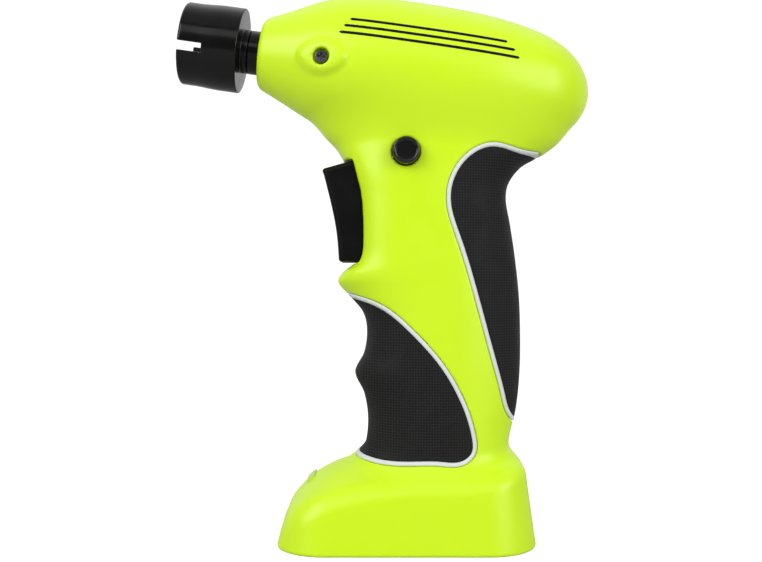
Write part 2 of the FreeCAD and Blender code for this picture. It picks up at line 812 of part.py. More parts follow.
def ring_cutter():
    """The toothed space inside the fixed ring gear."""
    teeth = int(V.ring_teeth)
    pitch = V.gear_module * teeth / 2
    tip = pitch + 1.2 * V.gear_module
    root = pitch - V.addendum * V.gear_module
    face = gear_face(teeth, tip, root, -V.backlash, 180 / teeth)
    space = face.extrude(Vector(V.case_end + 1 - V.carrier_two_end, 0, 0))
    space.translate(Vector(V.carrier_two_end, 0, 0))
    return space


def gear_case():
    """The gear case: a fixed ring gear behind a front wall with the bushing's nose."""
    case = rod(V.case_start, V.case_end, V.case_radius)
    case = case.fuse(rod(V.case_nose_start, V.case_start, V.case_nose_radius))
    case = case.cut([
        rod(V.case_nose_start - 1, V.case_wall_end + 1, V.bushing_radius),
        rod(V.case_wall_end, V.carrier_two_end + 0.1, V.case_bore),
        ring_cutter(),
    ])
    for side in (-1, 1):
        near, far = sorted((side * (V.nose_screw_tip_y - 0.4), side * 20))
        case = case.cut(across_rod(V.nose_screw_along, V.nose_screw_drop, V.screw_shank_radius, near, far))
    shaped("gear_case", case, BARREL)


def turned(label, corners):
    """A turned sub-part on the barrel's axis."""
    return placed(turned_body(label, corners), label, BARREL)


def spindle_parts():
    """What turns with the peg socket."""
    turned("spindle_bushing", tube_corners(
        D.case_nose_start, D.bushing_end, D.bushing_radius, D.spindle_radius + D.running_gap))
    turned("output_spindle", tube_corners(D.spindle_start, D.carrier_two_end, D.spindle_radius))
    turned("spindle_clip", tube_corners(
        D.clip_start, D.clip_start + D.clip_thick, D.spindle_radius + 1.8, D.spindle_radius))
    shank = V.shank_flats / math.sqrt(3) + 0.06
    hexagon = [
        Vector(0, shank * math.cos(math.radians(60 * k)), shank * math.sin(math.radians(60 * k)))
        for k in range(6)
    ]
    start = V.socket_rear + V.hub_length
    bore = polygon_face(hexagon).extrude(Vector(V.collar_bore_end - start, 0, 0))
    bore.translate(Vector(start, 0, 0))
    collar = rod(start, V.collar_end, V.collar_radius)
    rim = [e for e in collar.Edges if e.BoundBox.XMax < start + 0.01]
    collar = collar.makeFillet(0.5, rim).cut([bore, rod(V.spindle_start, V.collar_end + 1, V.spindle_radius)])
    shaped("drive_collar", collar, BARREL)
    carrier("second_carrier", V.carrier_two_start, V.carrier_two_end, V.carrier_two_radius, V.spindle_radius)
    carrier_pins("second_planet_pins", V.carrier_two_start, V.pin_two_end)
    peg_socket()


def carrier(label, start, end, radius, bore):
    """A planet carrier: a disc with a hole for each planet pin."""
    holes = round_about(rod(start - 1, end + 1, V.pin_radius, CENTRE_DISTANCE), PLANET_TURNS)
    disc = rod(start, end, radius).cut(holes + [rod(start - 1, end + 1, bore)])
    shaped(label, disc, BARREL)


def carrier_pins(label, start, end):
    pins = round_about(rod(start, end, V.pin_radius, CENTRE_DISTANCE), PLANET_TURNS)
    shaped(label, Part.makeCompound(pins), BARREL)


def planets(stage, start, end):
    """The three planet gears of a stage, each on its own pin."""
    for letter, angle in zip("abc", PLANET_TURNS):
        bore = V.pin_radius + V.running_gap
        gear = spur_gear(V.planet_teeth, start, end, bore, angle + 180 / V.planet_teeth)
        centre = Vector(0, CENTRE_DISTANCE * math.cos(math.radians(angle)),
                        CENTRE_DISTANCE * math.sin(math.radians(angle)))
        shaped(f"{stage}_planet_{letter}", gear, BARREL.multiply(Placement(centre, Rotation())))


def peg_socket():
    """The cup that goes over a tuning peg: a rounded hollow, two open slots, a hub and a hexagon shank."""
    step = V.socket_mouth + V.socket_step
    rear = rod(step, V.socket_rear, V.socket_radius_rear)
    edge = [e for e in rear.Edges if e.Length > V.socket_radius_rear]
    front = rod(V.socket_mouth, step, V.socket_radius_front)
    mouth = [e for e in front.Edges if e.BoundBox.XMax < V.socket_mouth + 0.01]
    cup = rear.makeFillet(V.socket_edge / 2, edge).fuse(front.makeFillet(V.socket_edge, mouth))
    long, short = V.cavity_long / 2, V.cavity_short / 2
    inside = block(V.socket_mouth - 1, V.socket_mouth + V.cavity_deep, -long, long, -short, short)
    along = [e for e in inside.Edges if e.BoundBox.XLength > 5]
    inside = inside.makeFillet(V.cavity_corner, along)
    slim = V.slot_width / 2
    slot = block(V.socket_mouth - 1, V.socket_mouth + V.slot_deep, -20, 20, -slim, slim)
    hub_end = V.socket_rear + V.hub_length
    shank = V.shank_flats / math.sqrt(3)
    hexagon = [
        Vector(0, shank * math.cos(math.radians(60 * k)), shank * math.sin(math.radians(60 * k)))
        for k in range(6)
    ]
    stem = polygon_face(hexagon).extrude(Vector(V.shank_end - V.socket_rear, 0, 0))
    stem.translate(Vector(V.socket_rear, 0, 0))
    cup = cup.cut([inside, slot]).fuse([rod(V.socket_rear - 0.5, hub_end, V.hub_radius)])
    cup.rotate(Vector(), X, V.socket_turn)
    shaped("peg_socket", cup.fuse(stem), BARREL)


# Motor


def armature_core():
    """A three-pole stack: three arms with wide shoes on a round core."""
    disc = rod(V.armature_start, V.armature_end, V.armature_radius)
    slots = []
    for angle in PLANET_TURNS:
        neck = block(V.armature_start - 1, V.armature_end + 1, 3.2, 20, -0.8, 0.8)
        hollow = Part.makeCylinder(2.6, 30, Vector(V.armature_start - 1, 5.9, 0), X)
        slots += round_about(neck.fuse(hollow), [angle + 60])
    core = disc.cut(slots + [rod(V.armature_start - 1, V.armature_end + 1, V.shaft_radius)])
    shaped("armature_core", core, BARREL)
    coil = rod(V.coil_start, V.coil_end, 2.55, 5.9)
    shaped("armature_windings", Part.makeCompound(
        round_about(coil, [angle + 60 for angle in PLANET_TURNS])), BARREL)


def screw_holes(body, end, deep):
    """The holes for the two motor screws, from the end inwards by the depth."""
    sketch = body.newObject("Sketcher::SketchObject", body.Name + "_hole_circles")
    sketch.AttachmentSupport = [(origin_plane(body, "YZ_Plane"), "")]
    sketch.MapMode = "FlatFace"
    sketch.setExpression("AttachmentOffset.Base.z", end.text)
    for number, up in enumerate((D.motor_screw_ring, -D.motor_screw_ring)):
        sketch.addGeometry(Part.Circle(Vector(0, up.value, 0), Z, V.motor_screw_hole), False)
        sketch.addConstraint(Sketcher.Constraint("PointOnObject", number, 3, -2))
        held = sketch.addConstraint(Sketcher.Constraint("DistanceY", -1, 1, number, 3, up.value))
        sketch.setExpression(f"Constraints[{held}]", up.text)
        held = sketch.addConstraint(Sketcher.Constraint("Radius", number, V.motor_screw_hole))
        sketch.setExpression(f"Constraints[{held}]", D.motor_screw_hole.text)
    holes = body.newObject("PartDesign::Pocket", body.Name + "_holes")
    holes.Profile = sketch
    holes.setExpression("Length", size(deep).text)


def motor_parts():
    plate = tube_corners(D.case_end, D.motor_plate_end, D.case_radius, size(4.3))
    body = turned_body("motor_plate", plate)
    screw_holes(body, D.motor_plate_end + 1, 8.0)
    placed(body, "motor_plate", BARREL)
    wall_end = D.can_start + D.can_wall
    hole = size(3.0)
    body = turned_body("motor_can", [
        (D.can_start, hole), (wall_end, hole), (wall_end, D.can_radius - D.can_wall),
        (D.can_end, D.can_radius - D.can_wall), (D.can_end, D.can_radius), (D.can_start, D.can_radius),
    ])
    screw_holes(body, wall_end + 1, 8.0)
    placed(body, "motor_can", BARREL)
    turned("motor_end_bell", tube_corners(D.can_end, D.bell_end, D.can_radius - 0.5, hole))
    ring = rod(V.magnet_start, V.magnet_end, V.can_radius - V.can_wall)
    ring = ring.cut(rod(V.magnet_start - 1, V.magnet_end + 1, V.magnet_inner))
    gap = block(V.magnet_start - 1, V.magnet_end + 1, -4, 4, -20, 20)
    shaped("motor_magnets", Part.makeCompound(ring.cut(gap).Solids), BARREL)
    bearings = []
    for start, end in ((V.can_start, V.can_start + 2.4), (V.can_end - 0.4, V.bell_end)):
        ring = rod(start, end, 3.0).cut(rod(start - 1, end + 1, V.shaft_radius + V.running_gap))
        bearings.append(ring)
    shaped("motor_bushings", Part.makeCompound(bearings), BARREL)
    touch = V.commutator_radius + 0.08
    brush = block(V.commutator_start + 0.6, V.can_end - 0.6, touch, touch + 1.52, -1.2, 1.2)
    shaped("motor_brushes", Part.makeCompound(round_about(brush, [0, 180])), BARREL)
    tab = block(V.bell_end, V.bell_end + 3.6, 6.6, 7.2, -1.4, 1.4)
    tab = tab.cut(Part.makeCylinder(0.6, 5, Vector(V.bell_end + 2.5, 4, 0), Y))
    shaped("motor_terminals", Part.makeCompound(round_about(tab, [0, 180])), BARREL)
    turned("motor_shaft", tube_corners(D.shaft_start, D.shaft_end, D.shaft_radius))
    turned("commutator", tube_corners(
        D.commutator_start, D.commutator_end, D.commutator_radius, D.shaft_radius))
    armature_core()


def gear_train():
    gear_case()
    spindle_parts()
    planets("second", V.planet_two_start, V.planet_two_end)
    sun = spur_gear(V.sun_teeth, V.planet_two_start, V.carrier_one_end, 0.6, 0.0)
    shaped("second_sun_gear", sun, BARREL)
    root = V.gear_module * V.sun_teeth / 2 + V.addendum * V.gear_module
    carrier("first_carrier", V.carrier_one_start, V.carrier_one_end, V.carrier_one_radius, root)
    carrier_pins("first_planet_pins", V.carrier_one_start, V.pin_one_end)
    planets("first", V.planet_one_start, V.planet_one_end)
    sun = spur_gear(V.sun_teeth, V.planet_one_start, V.case_end - 0.6, V.shaft_radius, 0.0)
    shaped("first_sun_gear", sun, BARREL)


# Trigger, switches and direction button


def trigger():
    """The trigger: a gently dished finger face in front of a guide block and its stop flange."""
    low, high = V.trigger_bottom, V.trigger_top
    back = V.trigger_back_x
    tip, shoulder = Vector(-24.8, 0, high - 2.6), Vector(-16.0, 0, high)
    foot_front, foot_back, head_back = Vector(-19.9, 0, low), Vector(back, 0, low), Vector(back, 0, high)
    face = Part.BSplineCurve()
    face.interpolate([foot_front, Vector(-20.5, 0, 92.3), Vector(-22.3, 0, 102.0), tip])
    wire = Part.Wire([
        face.toShape(),
        Part.makeLine(tip, shoulder),
        Part.makeLine(shoulder, head_back),
        Part.makeLine(head_back, foot_back),
        Part.makeLine(foot_back, foot_front),
    ])
    half = V.trigger_half_width
    block_shape = Part.Face(wire).extrude(Vector(0, 2 * half, 0))
    block_shape.translate(Vector(0, -half, 0))
    rounded = [e for e in block_shape.Edges if e.BoundBox.XMax < -19 and e.BoundBox.ZLength > 5]
    block_shape = block_shape.makeFillet(V.trigger_edge, rounded)
    wide = V.trigger_flange_half
    flange = block(back, back + V.trigger_flange, -wide, wide, low - 1.2, high - 2.4)
    pocket = Part.makeCylinder(
        V.spring_radius + 0.7, 20, Vector(V.spring_front_x - 0.1, 0, V.spring_height), X)
    shaped("trigger", block_shape.fuse(flange).cut(pocket))

    pitch = (V.spring_back_x - V.spring_front_x) / V.spring_turns
    radius = V.spring_radius
    helix = Part.makeHelix(pitch * 0.96, pitch * 0.96 * V.spring_turns, radius)
    tangent = helix.Edges[0].tangentAt(helix.Edges[0].FirstParameter)
    out, up = Vector(1, 0, 0), tangent.cross(Vector(1, 0, 0)).normalize()
    corners = []
    for k in range(8):
        angle = math.radians(22.5 + 45 * k)
        corners.append(Vector(radius, 0, 0) + (out * math.cos(angle) + up * math.sin(angle)) * V.spring_wire)
    ring = Part.makePolygon(corners + corners[:1])
    coil = Part.Wire(helix.Edges).makePipeShell([ring], True, True)
    shaped("trigger_spring", coil, Placement(
        Vector(V.spring_front_x + 0.25, 0, V.spring_height), Rotation(Y, 90)))

    body = padded_body("trigger_switch", "XY_Plane", box_corners(
        D.trigger_switch_x, D.trigger_switch_x + D.trigger_switch_thick,
        -(D.trigger_switch_wide / 2), D.trigger_switch_wide / 2), D.trigger_switch_tall,
        D.trigger_switch_bottom)
    plunger_z = D.trigger_switch_bottom + D.trigger_switch_tall / 2
    sketch = outlined(body, "plunger_outline", "XY_Plane", box_corners(
        D.trigger_switch_x - D.plunger_long, D.trigger_switch_x + 0.5, size(-1.2), size(1.2)))
    sketch.setExpression("AttachmentOffset.Base.z", (plunger_z - 0.7).text)
    plunger = body.newObject("PartDesign::Pad", "plunger")
    plunger.Profile = sketch
    plunger.Length = 1.4
    placed(body, "trigger_switch", Placement())


def direction_parts():
    """The cross-bolt direction button, the slider it moves and the reversing switch above it."""
    near = -(D.handle_half_width + D.button_proud)
    far = D.handle_half_width
    cap_near, cap_far = near + 6.0, far - 3.2
    groove = size(1.2)
    body = turned_body("direction_button", [
        (near, 0.0), (far, 0.0), (far, D.button_radius), (cap_far, D.button_radius),
        (cap_far, D.button_neck), (groove, D.button_neck), (groove, D.button_groove),
        (-groove, D.button_groove), (-groove, D.button_neck), (cap_near, D.button_neck),
        (cap_near, D.button_radius), (near, D.button_radius),
    ])
    doc.recompute()
    turn = body.Tip
    rims = []
    for i, edge in enumerate(turn.Shape.Edges, 1):
        box = edge.BoundBox
        if box.XLength < 0.01 and (box.XMin < near.value + 0.01 or box.XMax > far.value - 0.01):
            rims.append(f"Edge{i}")
    fillet = body.newObject("PartDesign::Fillet", "button_rims")
    fillet.Base = (turn, rims)
    fillet.setExpression("Radius", D.button_edge.text)
    placed(body, "direction_button", Placement(
        Vector(V.button_x, 0, V.button_z), Rotation(Z, 90)))

    half = D.direction_switch_half
    low = D.button_z + D.button_groove + 0.4
    body = padded_body("direction_slider", "XY_Plane", box_corners(
        size(-1.6), size(1.6), size(-1.0), size(1.0)), D.slider_top - low, low)
    placed(body, "direction_slider", Placement(Vector(V.button_x, 0, 0), Rotation()))
    body = padded_body("direction_switch", "XY_Plane", box_corners(
        -half, half, size(-6.2), size(6.2)), D.direction_switch_top - D.slider_top - 0.2, D.slider_top + 0.2)
    placed(body, "direction_switch", Placement(Vector(V.button_x, 0, 0), Rotation()))


# Power


def power_parts():
    cell = doc.addObject("Part::Cylinder", "battery_cell")
    cell.setExpression("Radius", "dims.cell_radius")
    cell.setExpression("Height", "dims.cell_length")
    placed(cell, "battery_cell", Placement(Vector(V.cell_x, 0, V.cell_bottom), Rotation()))
    tabs = []
    for height in (V.cell_bottom - V.tab_thick, V.cell_bottom + V.cell_length):
        tabs.append(block(V.cell_x - 3, V.cell_x + 3, -3.5, 3.5, height, height + V.tab_thick))
    shaped("battery_tabs", Part.makeCompound(tabs))
    half = D.board_half_width
    body = padded_body("charge_board", "XY_Plane", box_corners(
        D.board_front_x, D.board_rear_x, -half, half), D.board_thick, D.board_bottom)
    placed(body, "charge_board", Placement())

    top = V.board_bottom + V.board_thick
    front, back = V.inlet_front_x, V.inlet_front_x + V.inlet_long
    wide, tall = V.inlet_wide / 2, V.inlet_tall
    can = block(front, back, -wide, wide, top, top + tall)
    can = can.makeFillet(tall * 0.45, [e for e in can.Edges if e.BoundBox.XLength > 5])
    wall = V.inlet_wall
    mouth = block(front - 1, back - 1, -wide + wall, wide - wall, top + wall, top + tall - wall)
    mouth = mouth.makeFillet((tall - 2 * wall) * 0.45, [e for e in mouth.Edges if e.BoundBox.XLength > 5])
    middle = top + tall / 2
    tongue = block(front + 0.8, back - 0.5, -3.3, 3.3, middle - 0.35, middle + 0.35)
    shaped("usb_c_receptacle", can.cut(mouth).fuse(tongue))
    led_x = V.light_pipe_x
    shaped("charge_led", block(led_x - 0.8, led_x + 0.8, -0.6, 0.6, top, top + 0.8))
    shaped("charge_window", icon_insert(0.0).fuse(light_pipe(0.0)))


housing_shells()
screws()
gear_train()
motor_parts()
trigger()
direction_parts()
power_parts()
doc.recompute()

for obj in doc.Objects:
    if {"Invalid", "Error"} & set(obj.State):
        raise RuntimeError(f"{obj.Label} failed: {obj.State}")
for label, obj in parts.items():
    shape = obj.Shape
    if shape.isNull() or not shape.isValid() or not shape.Solids:
        raise RuntimeError(f"{label} has no valid solid")

os.makedirs("parts", exist_ok=True)
for label, obj in parts.items():
    obj.Shape.exportStep(f"parts/{label}.step")
    print(label, len(obj.Shape.Solids), round(obj.Shape.Volume, 1))
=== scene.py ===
import json
import math

import bpy
import numpy as np
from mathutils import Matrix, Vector


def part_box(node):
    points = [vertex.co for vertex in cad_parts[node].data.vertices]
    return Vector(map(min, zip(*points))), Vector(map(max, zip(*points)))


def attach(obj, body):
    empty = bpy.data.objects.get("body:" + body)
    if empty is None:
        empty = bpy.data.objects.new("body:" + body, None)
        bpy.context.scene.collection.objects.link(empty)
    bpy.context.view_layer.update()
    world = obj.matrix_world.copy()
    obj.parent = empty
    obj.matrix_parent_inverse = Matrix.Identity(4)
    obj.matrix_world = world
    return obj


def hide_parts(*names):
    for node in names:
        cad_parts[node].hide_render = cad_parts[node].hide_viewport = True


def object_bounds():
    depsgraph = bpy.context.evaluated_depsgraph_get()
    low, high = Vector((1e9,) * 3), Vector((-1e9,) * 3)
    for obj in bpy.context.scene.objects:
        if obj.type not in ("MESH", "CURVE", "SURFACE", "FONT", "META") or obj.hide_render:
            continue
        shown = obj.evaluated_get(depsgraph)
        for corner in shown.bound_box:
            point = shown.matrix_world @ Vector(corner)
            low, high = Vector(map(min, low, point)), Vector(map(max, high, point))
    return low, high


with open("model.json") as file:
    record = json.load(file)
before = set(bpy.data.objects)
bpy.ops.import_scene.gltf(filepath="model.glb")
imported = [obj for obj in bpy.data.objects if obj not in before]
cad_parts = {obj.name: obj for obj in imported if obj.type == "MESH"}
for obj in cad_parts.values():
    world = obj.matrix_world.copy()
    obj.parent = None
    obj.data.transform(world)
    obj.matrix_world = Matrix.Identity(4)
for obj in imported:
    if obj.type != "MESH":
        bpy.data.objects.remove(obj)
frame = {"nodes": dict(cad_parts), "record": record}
cad_box = [list(corner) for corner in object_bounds()]

# A powered string winder. Each skin is a signed distance field in millimetres, meshed at its zero and then
# scaled by MM, because Blender's units are metres. The frame is the CAD part's: the origin is under the foot,
# Z points up, the socket points to -X, and the two shells meet at Y = 0, with the left one at negative Y.
MM = 0.001

# ------------------------------------------------------------------------------------------- dimensions
# the barrel's axis: where it starts at the nose, and its dip towards the tail
NOSE_X, NOSE_Z, TILT = -43.3, 148.3, math.radians(8.0)
BARREL_LENGTH, NOSE_START, NOSE_RADIUS, NOSE_SLOPE, NOSE_CORNER = 100.3, -1.1, 10.22, 0.435, 2.0
HANDLE_CENTRE, HANDLE_HALF, HANDLE_REAR_SQUARE = 10.0, 16.0, 2.35
HANDLE_LOW, HANDLE_TOP = 12.0, 132.0
FOOT_X_LOW, FOOT_X_HIGH, FOOT_HALF, FOOT_CORNER = -38.7, 38.9, 22.8, 15.0
FOOT_DRAFT, FOOT_HEIGHT, FOOT_SHOULDER_Y = 3.6, 26.0, 20.0
SHOULDER_ROUND, FOOT_EDGE_ROUND, NECK_BLEND, FOOT_BLEND = 3.2, 0.8, 6.0, 5.0

# the wall, how far under the skin the screw posts stay, and the grips and piping that are let into it
WALL, POST_SINK = 2.4, 1.0
GRIP_DEPTH, GRIP_INSET, GRIP_ROUND, BED_GAP = 1.2, 0.45, 0.35, 0.02
PIPING_RADIUS, PIPING_GROOVE, PIPING_SINK = 0.68, 0.78, 0.42

# distance along the barrel's axis and radius
BARREL_CURVE = [(9.0, 14.7), (17.3, 18.4), (25.0, 20.5), (40.0, 21.5), (60.0, 21.1), (78.0, 18.9),
                (90.0, 14.9), (97.0, 9.0)]
# height, and the X of the handle's front and rear
HANDLE_FRONT = [
    (12.0, -14.2), (25.1, -13.6), (29.7, -11.9), (37.1, -11.3), (44.5, -12.5), (50.9, -15.2),
    (56.8, -12.5), (63.5, -11.6), (69.1, -12.8), (74.0, -16.8), (78.2, -20.4), (81.0, -19.2),
    (84.5, -15.0), (90.0, -13.6), (104.0, -14.3), (112.0, -17.0), (118.3, -20.5), (124.0, -24.0),
    (132.0, -24.0),
]
HANDLE_REAR = [
    (12.0, 31.0), (25.7, 31.2), (32.2, 32.1), (39.5, 33.9), (49.4, 35.0), (60.5, 35.3), (74.0, 34.9),
    (86.3, 33.6), (96.2, 32.1), (103.5, 30.9), (108.5, 31.8), (113.4, 35.6), (118.3, 42.4),
    (123.0, 45.5), (132.0, 42.0),
]
# height, and the power of the super-ellipse that the handle's front half follows
HANDLE_SQUARE = [(12.0, 2.4), (76.0, 2.5), (84.0, 3.8), (106.0, 3.8), (120.0, 2.5), (132.0, 2.2)]
# X, and the height of the foot's top along its middle and its shoulders
FOOT_MIDDLE = [
    (-43.0, -6.0), (-38.7, 3.6), (-35.9, 10.0), (-32.2, 15.0), (-27.0, 19.8), (-17.1, 24.4),
    (0.0, 25.6), (30.0, 25.6), (43.0, 25.4),
]
FOOT_SHOULDER = [
    (-43.0, -6.0), (-38.7, 2.8), (-34.6, 8.5), (-30.6, 12.2), (-22.2, 16.4), (-4.4, 19.5),
    (18.0, 20.4), (30.9, 22.0), (43.0, 22.4),
]
# borders of the rubber grips seen from the side: X and height, open to the front and to the rear
FRONT_GRIP = [
    (-16.8, 74.3), (-7.3, 71.0), (1.7, 63.8), (10.2, 54.3), (16.3, 43.8), (19.8, 33.0), (19.6, 28.0),
    (16.6, 25.6), (10.0, 25.4), (0.0, 25.3), (-9.0, 25.6), (-14.2, 26.4),
]
REAR_GRIP = [
    (40.4, 116.6), (33.6, 117.0), (25.3, 118.5), (16.9, 114.2), (12.4, 103.0), (15.3, 91.4),
    (20.8, 73.5), (25.4, 57.0), (28.7, 45.2), (30.6, 39.6), (33.2, 36.4),
]
# half of the slit between the shells, the rounding along it, and the same for the rubber parts
PARTING_SLIT, PARTING_ROUND, RUBBER_SLIT, RUBBER_ROUND = 0.03, 0.22, 0.05, 0.15
# X and height of the screws between the shells, and the well round each on the right side
HOUSING_SCREWS = [(45.6, 135.9), (9.8, 99.0), (27.5, 13.0), (-17.5, 12.6)]
SCREW_RECESS, SCREW_SEAT, SCREW_ROUND, POST_RADIUS = 2.45, 9.0, 0.25, 3.1
# the nose screws, placed along and under the barrel's axis, and the raised eye round each
NOSE_SCREW_ALONG, NOSE_SCREW_DROP, NOSE_SCREW_SEAT = 19.3, -2.4, 17.6
BOSS_LONG, BOSS_WIDE, BOSS_RISE, BOSS_INNER = 14.4, 8.8, 1.0, 8.0
BOSS_CORNER, BOSS_ROUND, BOSS_FILLET = 0.8, 1.2, 1.7
# windows through the wall: radius or half sizes, and the X, Y or place along the barrel where each ends
COLLAR_WINDOW, COLLAR_END = 7.1, 4.0
BUTTON_WINDOW, BUTTON_END = 4.25, -5.0
INLET_HALF, INLET_TALL_HALF, INLET_CORNER, INLET_END = 5.2, 2.3, 2.2, -30.0
TRIGGER_GAP, TRIGGER_CORNER, TRIGGER_END = 0.35, 0.9, -4.0

# the trigger: X and height of the middle of its finger face, and X of the face's foot, its tip and shoulder
TRIGGER_FACE = [(-20.5, 92.3), (-22.3, 102.0)]
TRIGGER_FOOT_X, TRIGGER_TIP_X, TRIGGER_SHOULDER_X = -19.9, -24.8, -16.0
TRIGGER_TIP_DROP, TRIGGER_EDGE, TRIGGER_SIDE_ROUND = 2.6, 0.9, 1.5
# the stop flange behind it: thickness, how far it stands out to each side and below, and its top's drop
FLANGE_THICK, FLANGE_ASIDE, FLANGE_BELOW, FLANGE_DROP = 2.0, 1.0, 1.2, 2.4
# the direction button: its two caps' thickness, the neck's step, the dish in each face, and roundings
NEAR_CAP, FAR_CAP, BOLT_NECK_STEP, BOLT_NECK_SINK = 6.0, 3.2, 1.0, 2.0
DISH_RADIUS, DISH_DEPTH, DISH_RIM = 26.0, 0.55, 0.75
CAP_ROUND, CAP_EDGE, RIM_ROUND = 0.8, 0.1, 0.2

# the peg socket, as places along the barrel's axis, radii, and half sizes of its hollow and slot
SOCKET_MOUTH, SOCKET_SWELL, SOCKET_REAR, SWELL_RUN = -24.4, -16.4, -6.5, 8.0
SOCKET_FRONT_RADIUS, SOCKET_REAR_RADIUS, SOCKET_TURN = 12.4, 12.8, math.radians(15.5)
SOCKET_RIM, SOCKET_REAR_ROUND, CAVITY_ROUND, SLOT_ROUND, HUB_FILLET = 0.9, 0.4, 0.35, 0.3, 0.3
HUB_SINK, HUB_END, HUB_RADIUS, SHANK_END, SHANK_FLATS = 0.5, -4.4, 6.6, 4.6, 6.35
CAVITY_LONG_HALF, CAVITY_HALF, CAVITY_CORNER, CAVITY_DEEP = 10.75, 6.25, 2.5, 14.0
SLOT_HALF, SLOT_DEEP = 1.35, 7.4

# the pinstripes: start, end and height over the axis; then what each stands out by, its depth, half width
# and least share of that at the ends, and the number of cuts along it
STRIPES = [(26.0, 72.0, 9.6), (24.5, 74.5, 7.4), (23.5, 76.0, 5.2)]
STRIPE_RISE, STRIPE_SINK, STRIPE_HALF, STRIPE_TIP, STRIPE_CUTS = 0.035, 0.25, 0.42, 0.08, 90


# ----------------------------------------------------------------------------------- curves and distances
def spline(points, start=None, end=None, steps=24):
    """Points along the smooth cubic curve through the given ones, with free or given end directions."""
    p = np.array(points, float)
    t = np.concatenate([[0], np.cumsum(np.linalg.norm(np.diff(p, axis=0), axis=1))])
    h, n = np.diff(t), len(p)
    a, b = np.zeros((n, n)), np.zeros((n, 2))
    for i in range(1, n - 1):
        a[i, i - 1:i + 2] = h[i - 1] / 6, (h[i - 1] + h[i]) / 3, h[i] / 6
        b[i] = (p[i + 1] - p[i]) / h[i] - (p[i] - p[i - 1]) / h[i - 1]
    a[0, 0] = a[-1, -1] = 1
    if start is not None:
        a[0, :2] = h[0] / 3, h[0] / 6
        b[0] = (p[1] - p[0]) / h[0] - np.array(start) / np.linalg.norm(start)
    if end is not None:
        a[-1, -2:] = h[-1] / 6, h[-1] / 3
        b[-1] = np.array(end) / np.linalg.norm(end) - (p[-1] - p[-2]) / h[-1]
    m = np.linalg.solve(a, b)
    out = []
    for i in range(n - 1):
        for u in np.linspace(0, 1, steps, endpoint=i == n - 2):
            v = 1 - u
            out.append(v * p[i] + u * p[i + 1]
                       + h[i] ** 2 / 6 * ((v ** 3 - v) * m[i] + (u ** 3 - u) * m[i + 1]))
    return np.array(out)


def along(points):
    """The smooth curve through (place, height) points, as a function of the place."""
    p = np.array(points, float)
    slopes = np.gradient(p[:, 1], p[:, 0])
    slopes[1:-1] = (p[2:, 1] - p[:-2, 1]) / (p[2:, 0] - p[:-2, 0])
    place = np.linspace(p[0, 0], p[-1, 0], 1500)
    i = np.clip(np.searchsorted(p[:, 0], place, side="right") - 1, 0, len(p) - 2)
    run = p[i + 1, 0] - p[i, 0]
    u = (place - p[i, 0]) / run
    height = ((1 + 2 * u) * (1 - u) ** 2 * p[i, 1] + u * u * (3 - 2 * u) * p[i + 1, 1]
              + run * (u * (1 - u) ** 2 * slopes[i] + u * u * (u - 1) * slopes[i + 1]))
    return lambda value: np.interp(value, place, height).astype(np.float32)


class Table:
    """Signed distances in a plane to an outline, looked up by place.

    An open outline is closed by the points of closing, which decide what is inside but have no distance.
    """

    STEP = 0.25

    def __init__(self, outline, low, high, closing=()):
        a = np.array(outline, float)
        self.low = np.array(low, float)
        self.size = [int((high[i] - low[i]) / self.STEP) + 2 for i in (0, 1)]
        u = self.low[0] + self.STEP * np.arange(self.size[0])
        v = self.low[1] + self.STEP * np.arange(self.size[1])
        uu, vv = np.meshgrid(u, v, indexing="ij")
        far = np.full(uu.shape, 1e9)
        ring = np.vstack([a, np.array(closing, float)]) if len(closing) else a
        inside = np.zeros(uu.shape, bool)
        for k, (p, q) in enumerate(zip(ring, np.roll(ring, -1, axis=0))):
            if k < len(a) - 1 or not len(closing):
                d = q - p
                share = ((uu - p[0]) * d[0] + (vv - p[1]) * d[1]) / max(d @ d, 1e-12)
                share = np.clip(share, 0, 1)
                far = np.minimum(far, (uu - p[0] - share * d[0]) ** 2 + (vv - p[1] - share * d[1]) ** 2)
            if p[1] != q[1]:
                crosses = (p[1] > vv) != (q[1] > vv)
                inside ^= crosses & (uu < p[0] + (vv - p[1]) / (q[1] - p[1]) * (q[0] - p[0]))
        self.values = np.where(inside, -1, 1) * np.sqrt(far)
        self.values = self.values.astype(np.float32)

    def __call__(self, a, b):
        a = (a - self.low[0]) / self.STEP
        b = (b - self.low[1]) / self.STEP
        i = np.clip(a.astype(np.int32), 0, self.size[0] - 2)
        j = np.clip(b.astype(np.int32), 0, self.size[1] - 2)
        a = np.clip(a - i, 0, 1)
        b = np.clip(b - j, 0, 1)
        v = self.values
        return ((v[i, j] * (1 - a) + v[i + 1, j] * a) * (1 - b)
                + (v[i, j + 1] * (1 - a) + v[i + 1, j + 1] * a) * b)


def join(a, b, radius):
    """The union of two distances with a fillet of the radius."""
    u, v = np.maximum(radius - a, 0), np.maximum(radius - b, 0)
    return np.maximum(radius, np.minimum(a, b)) - np.hypot(u, v)


def meet(a, b, radius):
    """The common part of two distances with its edge rounded by the radius."""
    u, v = np.maximum(radius + a, 0), np.maximum(radius + b, 0)
    return np.minimum(-radius, np.maximum(a, b)) + np.hypot(u, v)


def box_2d(a, b, half_a, half_b, corner):
    """The distance to a rectangle with rounded corners round the origin."""
    u, v = np.abs(a) - half_a + corner, np.abs(b) - half_b + corner
    return np.minimum(np.maximum(u, v), 0) + np.hypot(np.maximum(u, 0), np.maximum(v, 0)) - corner


def in_barrel(x, z):
    """Distance along the barrel's axis, and height over the axis."""
    dx, dz = x - NOSE_X, z - NOSE_Z
    return dx * math.cos(TILT) - dz * math.sin(TILT), dx * math.sin(TILT) + dz * math.cos(TILT)


